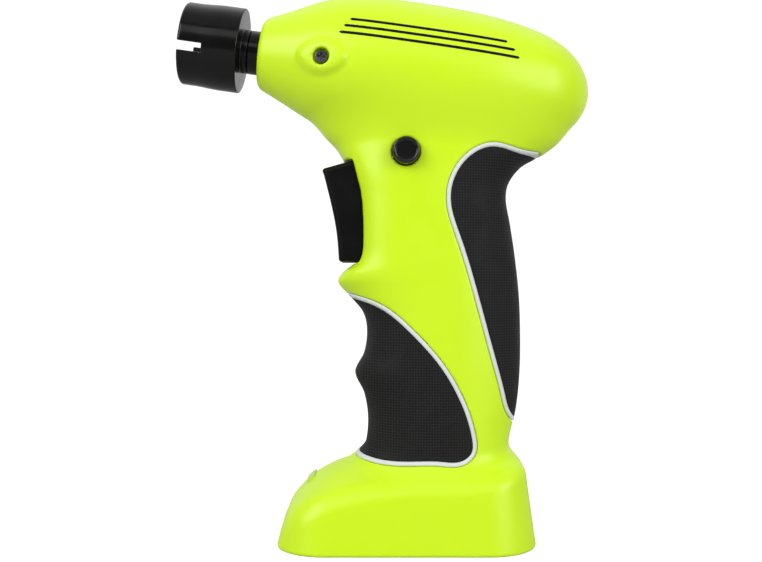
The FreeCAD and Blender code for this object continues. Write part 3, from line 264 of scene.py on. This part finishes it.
def barrel_curve():
    """The barrel's radius along its axis: cone, body and domed tail, as (place, radius) points."""
    return spline([(NOSE_START, NOSE_RADIUS)] + BARREL_CURVE + [(BARREL_LENGTH, 0.0)],
                  start=(1, NOSE_SLOPE), end=(0, -1))


def barrel_outline():
    """The barrel's section: its curve, and back by its mirror."""
    curve = barrel_curve()
    return np.vstack([curve, curve[::-1] * (1, -1)])


def grip_border(points, low, high, beyond):
    """The border of a grip, open towards the side of the handle where X is beyond it."""
    return Table(spline(points), low, high, closing=[(beyond, points[-1][1]), (beyond, points[0][1])])


# ---------------------------------------------------------------------------------------------- housing
barrel_table = Table(barrel_outline(), (-8, -2), (BARREL_LENGTH + 8, 32))
front_face, rear_face = along(HANDLE_FRONT), along(HANDLE_REAR)
front_square = along(HANDLE_SQUARE)
foot_middle, foot_shoulder = along(FOOT_MIDDLE), along(FOOT_SHOULDER)
front_border = grip_border(FRONT_GRIP, (-26, 18), (30, 84), -90)
rear_border = grip_border(REAR_GRIP, (4, 28), (60, 128), 120)


def barrel(x, y, z):
    """The tapering barrel with its flat, round-rimmed nose."""
    s, up = in_barrel(x, z)
    rho = np.sqrt(y * y + up * up)
    body = barrel_table(s, rho)
    return meet(body, NOSE_START - s, NOSE_CORNER)


def handle(x, y, z):
    """The handle: level sections of a super-ellipse, squarer in front, between the two profiles."""
    level = np.clip(z, HANDLE_LOW, HANDLE_TOP)
    gap = 0.3
    front = HANDLE_CENTRE - front_face(level)
    rear = rear_face(level) - HANDLE_CENTRE
    front_rise = (front_face(level - gap) - front_face(level + gap)) / (2 * gap)
    rear_rise = (rear_face(level + gap) - rear_face(level - gap)) / (2 * gap)
    ahead = x < HANDLE_CENTRE
    reach = np.where(ahead, front, rear)
    rise = np.where(ahead, front_rise, rear_rise)
    power = np.where(ahead, front_square(level), np.float32(HANDLE_REAR_SQUARE))
    u = np.abs(x - HANDLE_CENTRE) / reach + 1e-4
    v = np.abs(y) / HANDLE_HALF + 1e-4
    up, vp = u ** (power - 1), v ** (power - 1)
    q = (up * u + vp * v) ** (1 / power)
    scale = np.maximum(q, 0.05) ** (power - 1)
    gx, gy = up / (reach * scale), vp / (HANDLE_HALF * scale)
    gz = gx * u * rise
    d = (q - 1) / np.maximum(np.sqrt(gx * gx + gy * gy + gz * gz), 0.03)
    return np.maximum(d, np.maximum(z - HANDLE_TOP, HANDLE_LOW - z))


def foot(x, y, z):
    """The foot: a drafted block with round corners under the crowned surface of its top."""
    drawn = FOOT_DRAFT * np.clip(z, 0, FOOT_HEIGHT) / FOOT_HEIGHT
    middle = (FOOT_X_LOW + FOOT_X_HIGH) / 2
    half = (FOOT_X_HIGH - FOOT_X_LOW) / 2
    side = box_2d(x - middle, y, half - drawn, FOOT_HALF - drawn, FOOT_CORNER - drawn)
    share = (y / FOOT_SHOULDER_Y) ** 2
    gap = 0.4

    def top(at):
        return foot_middle(at) + (foot_shoulder(at) - foot_middle(at)) * share

    slope_x = (top(x + gap) - top(x - gap)) / (2 * gap)
    slope_y = 2 * y / FOOT_SHOULDER_Y ** 2 * (foot_shoulder(x) - foot_middle(x))
    crown = (z - top(x)) / np.sqrt(1 + slope_x ** 2 + slope_y ** 2)
    return meet(meet(side, crown, SHOULDER_ROUND), -z, FOOT_EDGE_ROUND)


def skin(x, y, z):
    """The whole outer skin of the housing, with the soft creases where barrel, handle and foot meet."""
    return join(join(barrel(x, y, z), handle(x, y, z), NECK_BLEND), foot(x, y, z), FOOT_BLEND)


def rod_across(x, z, at_x, at_z, radius):
    """The distance to a rod along Y."""
    return np.hypot(x - at_x, z - at_z) - radius


def lens(x, z):
    """The side view of the raised eye round the nose screw."""
    s, up = in_barrel(x, z)
    long, wide = BOSS_LONG / 2, BOSS_WIDE / 2
    radius = (long * long + wide * wide) / (2 * wide)
    s, up = s - NOSE_SCREW_ALONG, up - NOSE_SCREW_DROP
    upper = np.hypot(s, up + (radius - wide)) - radius
    lower = np.hypot(s, up - (radius - wide)) - radius
    return meet(lower, upper, BOSS_CORNER)


def box_of(node):
    """A CAD node's lowest and highest corner in millimetres."""
    low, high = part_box(node)
    return np.array(low) / MM, np.array(high) / MM


trigger_low, trigger_high = box_of("trigger")
button_low, button_high = box_of("direction_button")
inlet_low, inlet_high = box_of("usb_c_receptacle")
TRIGGER_BOTTOM, TRIGGER_TOP = trigger_low[2] + FLANGE_BELOW, trigger_high[2]
TRIGGER_HALF, FLANGE_TOP = trigger_high[1] - FLANGE_ASIDE, trigger_high[2] - FLANGE_DROP
BUTTON_X, BUTTON_Z = (button_low[0] + button_high[0]) / 2, (button_low[2] + button_high[2]) / 2
INLET_Z = (inlet_low[2] + inlet_high[2]) / 2


def openings(x, y, z):
    """The cuts through the wall, each with the rounding of its edge."""
    tall, middle_z = (TRIGGER_TOP - TRIGGER_BOTTOM) / 2, (TRIGGER_TOP + TRIGGER_BOTTOM) / 2
    for_trigger = box_2d(y, z - middle_z, TRIGGER_HALF + TRIGGER_GAP, tall + TRIGGER_GAP, TRIGGER_CORNER)
    for_button = rod_across(x, z, BUTTON_X, BUTTON_Z, BUTTON_WINDOW)
    for_inlet = box_2d(y, z - INLET_Z, INLET_HALF, INLET_TALL_HALF, INLET_CORNER)
    s, up = in_barrel(x, z)
    for_collar = np.hypot(y, up) - COLLAR_WINDOW
    for_screw = rod_across(s, up, NOSE_SCREW_ALONG, NOSE_SCREW_DROP, SCREW_RECESS)
    return [
        (np.maximum(for_trigger, x - TRIGGER_END), 0.35), (np.maximum(for_button, y - BUTTON_END), 0.3),
        (np.maximum(for_inlet, x - INLET_END), 0.3), (np.maximum(for_collar, s - COLLAR_END), 0.4),
        (np.maximum(for_screw, y + NOSE_SCREW_SEAT), SCREW_ROUND),
    ]


def shell(x, y, z, right):
    """Half the housing, on the left of the parting plane; the right one is this with its screw wells."""
    full = skin(x, y, z)
    parting = y + PARTING_SLIT
    eye = meet(barrel(x, y, z) - BOSS_RISE, lens(x, z), BOSS_ROUND)
    outer = join(full, np.maximum(eye, y + BOSS_INNER), BOSS_FILLET)
    d = np.maximum(meet(outer, parting, PARTING_ROUND), -(full + WALL))
    for at_x, at_z in HOUSING_SCREWS:
        post = np.maximum(rod_across(x, z, at_x, at_z, POST_RADIUS), np.maximum(full + POST_SINK, parting))
        d = np.minimum(d, post)
    for border in (front_border, rear_border):
        bed = np.maximum(border(x, z) - PIPING_GROOVE, -(full + GRIP_DEPTH))
        d = meet(d, -bed, RUBBER_ROUND)
    for cut, edge in openings(x, y, z):
        d = meet(d, -cut, edge)
    if right:
        for at_x, at_z in HOUSING_SCREWS:
            well = np.maximum(rod_across(x, z, at_x, at_z, SCREW_RECESS), y + SCREW_SEAT)
            d = meet(d, -well, SCREW_ROUND)
    return d


def grip(x, y, z, border):
    """The left half of a rubber grip, which lies in its bed in the shell."""
    full = skin(x, y, z)
    d = np.maximum(meet(full, border(x, z) + GRIP_INSET, GRIP_ROUND), -(full + GRIP_DEPTH - BED_GAP))
    return meet(d, y + RUBBER_SLIT, RUBBER_ROUND)


def piping(x, y, z, border):
    """The left half of the pale line round a grip, which runs in the skin along the grip's border."""
    full = skin(x, y, z)
    d = np.hypot(full + PIPING_SINK, border(x, z)) - PIPING_RADIUS
    return np.maximum(d, y + RUBBER_SLIT)


# -------------------------------------------------------------------------------------- trigger and button
def trigger_outline():
    """The trigger's side view, drawn inside its true outline by the radius of its edges."""
    tip = TRIGGER_TOP - TRIGGER_TIP_DROP
    face = spline([(TRIGGER_FOOT_X, TRIGGER_BOTTOM)] + TRIGGER_FACE + [(TRIGGER_TIP_X, tip)])
    face = face + (TRIGGER_EDGE, 0)
    face[:, 1] = np.clip(face[:, 1], TRIGGER_BOTTOM + TRIGGER_EDGE, tip - 0.6 * TRIGGER_EDGE)
    top, bottom = TRIGGER_TOP - TRIGGER_EDGE, TRIGGER_BOTTOM + TRIGGER_EDGE
    back = trigger_high[0] - FLANGE_THICK
    return np.vstack([face, [(TRIGGER_SHOULDER_X, top), (back, top), (back, bottom)]])


trigger_table = Table(trigger_outline(), (-30, 78), (0, 120))


def trigger(x, y, z):
    """The trigger: a dished finger face with rounded edges, and the stop flange inside the housing."""
    body = meet(trigger_table(x, z) - TRIGGER_EDGE, np.abs(y) - TRIGGER_HALF, TRIGGER_SIDE_ROUND)
    middle_z, half = (FLANGE_TOP + trigger_low[2]) / 2, FLANGE_THICK / 2
    plate = box_2d(y, z - middle_z, TRIGGER_HALF + FLANGE_ASIDE, FLANGE_TOP - middle_z, 0.3)
    return np.minimum(body, np.maximum(np.abs(x - (trigger_high[0] - half)) - half, plate))


def button(x, y, z):
    """The cross-bolt: a cap with a rounded rim and a dished face at each end, and the neck between."""
    radius = (button_high[2] - button_low[2]) / 2
    r = np.hypot(x - BUTTON_X, z - BUTTON_Z)
    near, far = y - button_low[1], button_high[1] - y
    d = np.maximum(r - radius + BOLT_NECK_STEP, BOLT_NECK_SINK - np.minimum(near, far))
    for depth, thick in ((near, NEAR_CAP), (far, FAR_CAP)):
        cap = meet(meet(r - radius, -depth, CAP_ROUND), depth - thick, CAP_EDGE)
        dish = np.hypot(r, depth + DISH_RADIUS - DISH_DEPTH) - DISH_RADIUS
        d = np.minimum(d, meet(cap, -np.maximum(dish, r - radius + DISH_RIM), RIM_ROUND))
    return d


# ---------------------------------------------------------------------------------------------- socket
def socket(x, y, z):
    """The slotted cup: a lightly swelling barrel, its oblong hollow, the slot across it, hub and shank."""
    s, across = in_barrel(x, z)
    turned_y = y * math.cos(SOCKET_TURN) + across * math.sin(SOCKET_TURN)
    up = across * math.cos(SOCKET_TURN) - y * math.sin(SOCKET_TURN)
    r = np.hypot(turned_y, up)
    share = np.clip((s - SOCKET_SWELL + SWELL_RUN / 2) / SWELL_RUN, 0, 1)
    swell = share * share * (3 - 2 * share)
    radius = SOCKET_FRONT_RADIUS + (SOCKET_REAR_RADIUS - SOCKET_FRONT_RADIUS) * swell
    cup = meet(meet(r - radius, SOCKET_MOUTH - s, SOCKET_RIM), s - SOCKET_REAR, SOCKET_REAR_ROUND)
    depth = s - SOCKET_MOUTH
    oblong = box_2d(turned_y, up, CAVITY_LONG_HALF, CAVITY_HALF, CAVITY_CORNER)
    hollow = np.maximum(oblong, depth - CAVITY_DEEP)
    slot = np.maximum(np.abs(up) - SLOT_HALF, depth - SLOT_DEEP)
    cup = meet(meet(cup, -hollow, CAVITY_ROUND), -slot, SLOT_ROUND)
    hub = np.maximum(r - HUB_RADIUS, np.maximum(SOCKET_REAR - HUB_SINK - s, s - HUB_END))
    flats = np.abs(y)
    for way in (-1, 1):
        flats = np.maximum(flats, np.abs(y / 2 + way * across * math.sqrt(0.75)))
    shank = np.maximum(flats - SHANK_FLATS / 2, np.maximum(SOCKET_REAR - s, s - SHANK_END))
    return np.minimum(join(cup, hub, HUB_FILLET), shank)


# --------------------------------------------------------------------------------------------- meshing
CORNERS = np.array([(i, j, k) for i in (0, 1) for j in (0, 1) for k in (0, 1)])
EDGES = [(a, b) for a in range(8) for b in range(a + 1, 8) if np.abs(CORNERS[a] - CORNERS[b]).sum() == 1]


def net(field, low, high, step):
    """Vertices and quads of the surface where the field is 0, one vertex in each cell that it crosses."""
    axes = [np.arange(low[i], high[i] + step, step, dtype=np.float32) for i in range(3)]
    value = field(axes[0][:, None, None], axes[1][None, :, None], axes[2][None, None, :])
    value = np.ascontiguousarray(np.broadcast_to(value, [len(a) for a in axes]), np.float32)
    value = np.where(value == 0, np.float32(1e-6), value)
    inside = value < 0
    count = sum(inside[tuple(slice(c, n - 1 + c) for c, n in zip(corner, value.shape))].astype(np.int8)
                for corner in CORNERS)
    cells = np.argwhere((count > 0) & (count < 8))
    at = [value[tuple((cells + corner).T)] for corner in CORNERS]
    total, hits = np.zeros((len(cells), 3)), np.zeros(len(cells))
    for a, b in EDGES:
        crossed = (at[a] < 0) != (at[b] < 0)
        share = at[a][crossed] / (at[a][crossed] - at[b][crossed])
        total[crossed] += CORNERS[a] + share[:, None] * (CORNERS[b] - CORNERS[a])
        hits[crossed] += 1
    start = np.array([a[0] for a in axes])
    points = start + (cells + total / hits[:, None]) * step
    number = np.full(count.shape, -1, np.int32)
    number[tuple(cells.T)] = np.arange(len(cells))
    quads = []
    for axis in range(3):
        one, two = [a for a in range(3) if a != axis]
        first = inside[tuple(slice(0, -1) if a == axis else slice(1, -1) for a in range(3))]
        second = inside[tuple(slice(1, None) if a == axis else slice(1, -1) for a in range(3))]
        place = np.argwhere(first != second)
        out = first[tuple(place.T)]
        place[:, one] += 1
        place[:, two] += 1
        ring = []
        for move_one, move_two in ((0, 0), (-1, 0), (-1, -1), (0, -1)):
            cell = place.copy()
            cell[:, one] += move_one
            cell[:, two] += move_two
            ring.append(number[tuple(cell.T)])
        ring = np.stack(ring, axis=1)
        flip = out != (axis == 1)
        ring[flip] = ring[flip][:, ::-1]
        quads.append(ring[:, ::-1])
    return points, np.vstack(quads)


def settle(field, points, step, rounds=3):
    """The points moved onto the surface along the field's slope, by no more than half a cell."""
    home, gap = points.copy(), 0.02
    for _ in range(rounds):
        value = field(*points.T)
        slope = np.stack([
            (field(*(points + gap * axis).T) - field(*(points - gap * axis).T)) / (2 * gap)
            for axis in np.eye(3)], axis=1)
        size = np.maximum((slope ** 2).sum(axis=1), 0.2)
        points = points - (value / size)[:, None] * slope * 0.8
        away = points - home
        reach = np.linalg.norm(away, axis=1, keepdims=True)
        points = home + away * np.minimum(1, 0.5 * step / np.maximum(reach, 1e-9))
    return points


def mesh_piece(name, points, faces, body, replaced=()):
    """A smooth-shaded mesh object from points in millimetres."""
    mesh = bpy.data.meshes.new(name)
    mesh.from_pydata((np.asarray(points) * MM).tolist(), [], np.asarray(faces).tolist())
    mesh.polygons.foreach_set("use_smooth", np.ones(len(mesh.polygons), bool))
    mesh.update()
    piece = bpy.data.objects.new(name, mesh)
    bpy.context.scene.collection.objects.link(piece)
    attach(piece, body)
    if replaced:
        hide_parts(*replaced)
    return piece


def field_piece(name, field, low, high, step, body, replaced=(), mirror=False):
    """A piece from the field's surface in the box, mirrored about the parting plane for a right-hand one."""
    points, faces = net(field, low, high, step)
    points = settle(field, points, step)
    if mirror:
        points = points * (1, -1, 1)
        faces = faces[:, ::-1]
    return mesh_piece(name, points, faces, body, replaced)


# ---------------------------------------------------------------------------------------------- pieces
COARSE = 1.0
SHELL_STEP, GRIP_STEP, PIPING_STEP, TRIGGER_STEP, SOCKET_STEP, BUTTON_STEP = [
    COARSE * step for step in (0.54, 0.36, 0.24, 0.3, 0.26, 0.2)]


def left_box(node, margin, beyond):
    """A left-hand node's box with a margin round it, reaching a little beyond the parting plane."""
    low, high = box_of(node)
    return low - margin, np.array([high[0] + margin, beyond, high[2] + margin])


def build_housing():
    """The two shells, and the grips and piping on each; the right side is meshed on the left and mirrored."""
    made = {}
    low, high = left_box("left_shell", 1.2, 1.0)
    for side in ("left", "right"):
        right = side == "right"
        made[f"{side}_shell"] = field_piece(
            f"{side}_shell_skin", lambda x, y, z: shell(x, y, z, right), low, high, SHELL_STEP,
            "housing", [f"{side}_shell"], mirror=right)
        for place, border in (("front", front_border), ("rear", rear_border)):
            start, end = left_box(f"left_{place}_grip", 2.0, 0.6)
            made[f"{side}_{place}_grip"] = field_piece(
                f"{side}_{place}_grip_pad", lambda x, y, z: grip(x, y, z, border), start, end, GRIP_STEP,
                "housing", [f"{side}_{place}_grip"], mirror=right)
            made[f"{side}_{place}_piping"] = field_piece(
                f"{side}_{place}_piping_line", lambda x, y, z: piping(x, y, z, border), start, end,
                PIPING_STEP, "housing", [f"{side}_{place}_piping"], mirror=right)
    return made


def build_moving():
    """The trigger, the direction button and the peg socket, each on its own body."""
    made = {}
    for node, name, field, step, body, slot in (
            ("trigger", "trigger_blade", trigger, TRIGGER_STEP, "trigger_lever", "black_satin_plastic"),
            ("direction_button", "button_bolt", button, BUTTON_STEP, "direction_bolt", "black_plastic"),
            ("peg_socket", "slotted_cup", socket, SOCKET_STEP, "spindle", "black_plastic")):
        low, high = box_of(node)
        made[node] = field_piece(name, field, low - 0.8, high + 0.8, step, body, [node])
    return made


# ------------------------------------------------------------------------------------------- pinstripes
def stripe_points(curve, start, end, middle):
    """Four points on the skin and four under it at each cut along a stripe, which narrows to round ends."""
    points = []
    for k in range(STRIPE_CUTS + 1):
        s = start + (end - start) * k / STRIPE_CUTS
        round_off = min(1.0, max(min(s - start, end - s), 0.0) / STRIPE_HALF)
        half = STRIPE_HALF * max(math.sqrt(1 - (1 - round_off) ** 2), STRIPE_TIP)
        radius = float(np.interp(s, curve[:, 0], curve[:, 1]))
        for rise in (STRIPE_RISE, -STRIPE_SINK):
            for share in (-1, -0.33, 0.33, 1):
                up = middle + share * half
                y = -math.sqrt((radius + rise) ** 2 - up * up)
                points.append((NOSE_X + s * math.cos(TILT) + up * math.sin(TILT), y,
                               NOSE_Z - s * math.sin(TILT) + up * math.cos(TILT)))
    return points


def build_stripes():
    """Three plain parallel pinstripes along the left flank of the barrel."""
    ring, row, last = [0, 1, 2, 3, 7, 6, 5, 4], 8, 8 * STRIPE_CUTS
    faces = [(row * k + a, row * k + b, row * (k + 1) + b, row * (k + 1) + a)
             for k in range(STRIPE_CUTS) for a, b in zip(ring, ring[1:] + ring[:1])]
    for a, b in ((0, 1), (1, 2), (2, 3)):
        faces.append((a + 4, b + 4, b, a))
        faces.append((last + a, last + b, last + b + 4, last + a + 4))
    return [mesh_piece(f"pinstripe_{number}", stripe_points(barrel_curve(), *stripe), faces, "housing") for number, stripe in enumerate(STRIPES, 1)]


# ---------------------------------------------------------------------------------------------- finishes
def map_range(tree, value, low, high, start, end):
    """A node that carries the value from low..high over to start..end."""
    node = tree.nodes.new("ShaderNodeMapRange")
    for socket, number in (("From Min", low), ("From Max", high), ("To Min", start), ("To Max", end)):
        node.inputs[socket].default_value = number
    tree.links.new(value, node.inputs["Value"])
    return node


def show_apart(tree, seen, other, output):
    """Lets the camera itself see one shader, while the light that reaches the object meets another."""
    mix = tree.nodes.new("ShaderNodeMixShader")
    tree.links.new(tree.nodes.new("ShaderNodeLightPath").outputs["Is Camera Ray"], mix.inputs["Fac"])
    tree.links.new(other.outputs[0], mix.inputs[1])
    tree.links.new(seen.outputs[0], mix.inputs[2])
    tree.links.new(mix.outputs[0], tree.nodes[output].inputs["Surface"])


class Finish:
    """A node material: one shader, and a chain of bumps over the object's own coordinates.

    Sockets of the shader are given by name with _ for a space. Sizes and depths are in millimetres.
    """

    def __init__(self, name, color, roughness, metallic=0.0, **sockets):
        self.material = bpy.data.materials.new(name)
        self.material.use_nodes = True
        self.tree = self.material.node_tree
        self.nodes, self.links = self.tree.nodes, self.tree.links
        self.shader = self.nodes["Principled BSDF"]
        self.shader.inputs["Base Color"].default_value = (*color, 1)
        self.shader.inputs["Roughness"].default_value = roughness
        self.shader.inputs["Metallic"].default_value = metallic
        for socket, value in sockets.items():
            self.shader.inputs[socket.replace("_", " ")].default_value = value
        self.coordinates = self.nodes.new("ShaderNodeTexCoord").outputs
        self.color, self.normal = color, None

    def noise(self, size, detail=3.0, stretch=(1, 1, 1), distortion=0.0):
        """Noise whose features measure about the size."""
        mapping = self.nodes.new("ShaderNodeMapping")
        mapping.inputs["Scale"].default_value = [v / (size * MM) for v in stretch]
        self.links.new(self.coordinates["Object"], mapping.inputs["Vector"])
        noise = self.nodes.new("ShaderNodeTexNoise")
        noise.inputs["Scale"].default_value = 1.0
        noise.inputs["Detail"].default_value = detail
        noise.inputs["Distortion"].default_value = distortion
        self.links.new(mapping.outputs["Vector"], noise.inputs["Vector"])
        return noise.outputs["Fac"]

    def between(self, value, low, high, start, end):
        return map_range(self.tree, value, low, high, start, end).outputs["Result"]

    def split(self, socket):
        """The X, Y and Z of a kind of coordinates."""
        node = self.nodes.new("ShaderNodeSeparateXYZ")
        self.links.new(self.coordinates[socket], node.inputs[0])
        return [node.outputs[axis] for axis in "XYZ"]

    def math(self, operation, *values):
        """A Math node over numbers and sockets."""
        node = self.nodes.new("ShaderNodeMath")
        node.operation = operation
        for socket, value in zip(node.inputs, values):
            if isinstance(value, (int, float)):
                socket.default_value = value
            else:
                self.links.new(value, socket)
        return node.outputs[0]

    def shade(self, factor, other):
        """The base colour mixed with another by a factor."""
        mix = self.nodes.new("ShaderNodeMix")
        mix.data_type = "RGBA"
        mix.inputs["A"].default_value = (*self.color, 1)
        mix.inputs["B"].default_value = (*other, 1)
        socket = self.shader.inputs["Base Color"]
        if socket.is_linked:
            self.links.new(socket.links[0].from_socket, mix.inputs["A"])
        self.links.new(factor, mix.inputs["Factor"])
        self.links.new(mix.outputs["Result"], socket)
        return self

    def rough(self, value):
        """Roughness from a socket."""
        self.links.new(value, self.shader.inputs["Roughness"])
        return self

    def bump(self, height, depth, strength=1.0):
        """A bump of the depth over what is bumped so far."""
        bump = self.nodes.new("ShaderNodeBump")
        bump.inputs["Strength"].default_value = strength
        bump.inputs["Distance"].default_value = depth * MM
        self.links.new(height, bump.inputs["Height"])
        if self.normal is not None:
            self.links.new(self.normal, bump.inputs["Normal"])
        self.normal = bump.outputs["Normal"]
        self.links.new(self.normal, self.shader.inputs["Normal"])
        return self


def moulded(name, color, roughness, grain=0.35, depth=0.012, spread=0.06, **sockets):
    """Moulded plastic: a fine spark-eroded grain, slow waves of the surface and handling marks."""
    f = Finish(name, color, roughness, **sockets)
    f.bump(f.noise(14.0, 2.0), 0.05, 0.5).bump(f.noise(grain, 3.0), depth)
    smear = f.noise(9.0, 5.0, distortion=0.6)
    f.rough(f.between(smear, 0.3, 0.7, roughness - spread, roughness + spread))
    f.shade(f.between(f.noise(22.0, 3.0), 0.4, 0.75, 0.0, 0.16), [c * 0.93 for c in color])
    return f


def metal(name, color, roughness, stretch=(1, 1, 1), depth=0.006, size=0.3):
    """Bare or plated metal: drawn or turned lines, and duller patches."""
    f = Finish(name, color, roughness, 1.0)
    lines = f.noise(size, 4.0, stretch)
    f.bump(lines, depth)
    f.rough(f.between(f.noise(2.5, 4.0), 0.3, 0.7, roughness - 0.08, roughness + 0.14))
    f.shade(f.between(lines, 0.35, 0.8, 0.0, 0.35), [c * 0.72 for c in color])
    return f


def dotted_rubber(name, color, pitch=0.8):
    """Soft black rubber with the fine square dots of the mould, worn smooth here and there."""
    f = Finish(name, color, 0.62, Specular_IOR_Level=0.22)
    wave = 2 * math.pi / (pitch * MM)
    across, aside, level = [f.math("COSINE", f.math("MULTIPLY", at, wave)) for at in f.split("Object")]
    faces_forward = f.math("GREATER_THAN", f.math("ABSOLUTE", f.split("Normal")[0]), 0.8)
    mix = f.nodes.new("ShaderNodeMix")
    for socket, value in (("Factor", faces_forward), ("A", across), ("B", aside)):
        f.links.new(value, mix.inputs[socket])
    dots = f.between(f.math("ADD", mix.outputs["Result"], level), 0.1, 1.3, 0.0, 1.0)
    f.bump(dots, 0.09)
    f.bump(f.noise(0.25, 3.0), 0.012)
    f.rough(f.between(f.noise(8.0, 4.0), 0.3, 0.7, 0.54, 0.7))
    f.shade(f.math("MULTIPLY", dots, 0.8), [c * 2.2 + 0.012 for c in color])
    return f


def glassy(name, color, roughness):
    """Tinted moulded window plastic, more milky than clear."""
    f = Finish(name, color, roughness, Transmission_Weight=0.25, IOR=1.49)
    f.bump(f.noise(1.2, 2.0), 0.006)
    f.rough(f.between(f.noise(3.0, 3.0), 0.3, 0.7, roughness, roughness + 0.1))
    return f


FINISHES = {
    "housing_plastic": moulded("lime_plastic", (0.635, 0.92, 0.006), 0.36, grain=0.3, depth=0.006),
    "grip_rubber": dotted_rubber("dotted_rubber", (0.005, 0.005, 0.0053)),
    "piping_rubber": moulded("pale_rubber", (0.72, 0.75, 0.74), 0.55, depth=0.004),
    "black_plastic": moulded("glossy_black_plastic", (0.003, 0.003, 0.0034), 0.2, grain=0.5, depth=0.002,
                             Specular_IOR_Level=0.26),
    "black_satin_plastic": moulded("satin_black_plastic", (0.003, 0.003, 0.003), 0.4, depth=0.01,
                                   Specular_IOR_Level=0.12),
    "white_nylon": moulded("white_nylon", (0.82, 0.81, 0.76), 0.5, depth=0.01),
    "black_screw_steel": metal("black_oxide_steel", (0.13, 0.13, 0.135), 0.34),
    "bright_steel": metal("bright_steel", (0.62, 0.62, 0.62), 0.22, (0.2, 3, 3)),
    "spring_steel": metal("spring_wire", (0.5, 0.5, 0.52), 0.3, (3, 1, 1)),
    "gear_steel": metal("sintered_steel", (0.38, 0.37, 0.35), 0.42, size=0.12, depth=0.012),
    "bronze": metal("sintered_bronze", (0.58, 0.38, 0.17), 0.38, size=0.12, depth=0.012),
    "magnet_ferrite": metal("ferrite", (0.07, 0.07, 0.075), 0.6, size=0.1),
    "winding_copper": metal("enamelled_copper", (0.62, 0.25, 0.09), 0.25, (4, 0.4, 4), 0.03, 0.5),
    "cell_wrap": moulded("cell_sleeve", (0.04, 0.16, 0.42), 0.3, depth=0.004),
    "board_laminate": moulded("solder_mask", (0.01, 0.13, 0.05), 0.3, depth=0.01),
    "nickel": metal("nickel_plate", (0.66, 0.64, 0.6), 0.25, (0.3, 2, 2)),
    "clear_plastic": glassy("tinted_window", (0.66, 0.93, 0.1), 0.3),
}


def paint(made, stripes):
    """The finish of its CAD node on each visible piece and on each CAD node, and a polish on the button."""
    polished = moulded("polished_black_plastic", (0.003, 0.003, 0.0034), 0.13, grain=0.5, depth=0.001,
                       spread=0.03, Specular_IOR_Level=0.6)
    slots = {part["node"]: part["material_slot"] for part in frame["record"]["subparts"]}
    for node, piece in made.items():
        finish = polished if node == "direction_button" else FINISHES[slots[node]]
        piece.data.materials.append(finish.material)
    for stripe in stripes:
        stripe.data.materials.append(FINISHES["black_satin_plastic"].material)
    for node, thing in frame["nodes"].items():
        for slot in thing.material_slots:
            slot.material = FINISHES[slots[node]].material


paint({**build_housing(), **build_moving()}, build_stripes())

# ---------------------------------------------------------------------------------------------- stage
middle = [(a + b) / 2 for a, b in zip(*cad_box)]


def build_floor():
    """A round light table: white to the camera, and a grey card to the light that reaches the winder."""
    reach, parts = 0.7, 96
    points = [(reach * math.cos(2 * math.pi * k / parts), reach * math.sin(2 * math.pi * k / parts), 0.0)
              for k in range(parts)]
    mesh = bpy.data.meshes.new("floor")
    mesh.from_pydata(points, [], [list(range(parts))])
    floor = bpy.data.objects.new("floor", mesh)
    bpy.context.scene.collection.objects.link(floor)
    finish = moulded("pale_floor", (0.93, 0.93, 0.93), 0.8, grain=3.0)
    finish.shader.inputs["Emission Color"].default_value = (1, 1, 1, 1)
    finish.shader.inputs["Emission Strength"].default_value = 0.45
    card = finish.nodes.new("ShaderNodeBsdfDiffuse")
    card.inputs["Color"].default_value = (0.5, 0.5, 0.5, 1)
    show_apart(finish.tree, finish.shader, card, "Material Output")
    mesh.materials.append(finish.material)


def area_light(name, place, size, power, aim=middle):
    """A rectangular soft light of the size in metres, turned to what it aims at."""
    data = bpy.data.lights.new(name, "AREA")
    data.shape = "RECTANGLE"
    data.size, data.size_y = size
    data.energy = power
    light = bpy.data.objects.new(name, data)
    light.location = place
    light.rotation_euler = (Vector(aim) - Vector(place)).to_track_quat("-Z", "Y").to_euler()
    bpy.context.scene.collection.objects.link(light)


def build_world():
    """A white backdrop behind the object and a dimmer studio in front; the camera sees plain white."""
    world = bpy.data.worlds.new("studio")
    world.use_nodes = True
    tree = world.node_tree
    seen = tree.nodes["Background"]
    seen.inputs["Color"].default_value = (1, 1, 1, 1)
    seen.inputs["Strength"].default_value = 1.1
    fill = tree.nodes.new("ShaderNodeBackground")
    direction = tree.nodes.new("ShaderNodeSeparateXYZ")
    tree.links.new(tree.nodes.new("ShaderNodeTexCoord").outputs["Generated"], direction.inputs[0])
    spread = map_range(tree, direction.outputs["Y"], -0.35, 0.75, 0.2, 1.0)
    spread.interpolation_type = "SMOOTHSTEP"
    tree.links.new(spread.outputs["Result"], fill.inputs["Strength"])
    show_apart(tree, seen, fill, "World Output")
    bpy.context.scene.world = world


def build_lights():
    """Broad soft light from above and from both sides, and a faint strip for the gloss on the barrel."""
    area_light("overhead", (0.0, 0.0, 1.0), (1.5, 1.5), 2.5, aim=(0, 0, 0))
    area_light("left_front", (-0.65, -0.6, 0.5), (0.6, 0.6), 5.4)
    area_light("right_front", (0.65, -0.65, 0.35), (0.6, 0.6), 4.6)
    area_light("front_strip", (-0.1, -0.8, 0.62), (0.7, 0.3), 0.9)


def build_camera():
    """Level, square on to the winder's left side, as the photograph was taken."""
    data = bpy.data.cameras.new("camera")
    data.lens, data.sensor_width = 44.53, 36.0
    data.clip_start, data.clip_end = 0.01, 20
    camera = bpy.data.objects.new("camera", data)
    camera.location = (-0.0073, -0.290, 0.0786)
    camera.rotation_euler = (math.pi / 2, 0, 0)
    bpy.context.scene.collection.objects.link(camera)
    bpy.context.scene.camera = camera


bpy.context.scene.view_settings.view_transform = "Standard"
build_floor()
build_world()
build_lights()
build_camera()
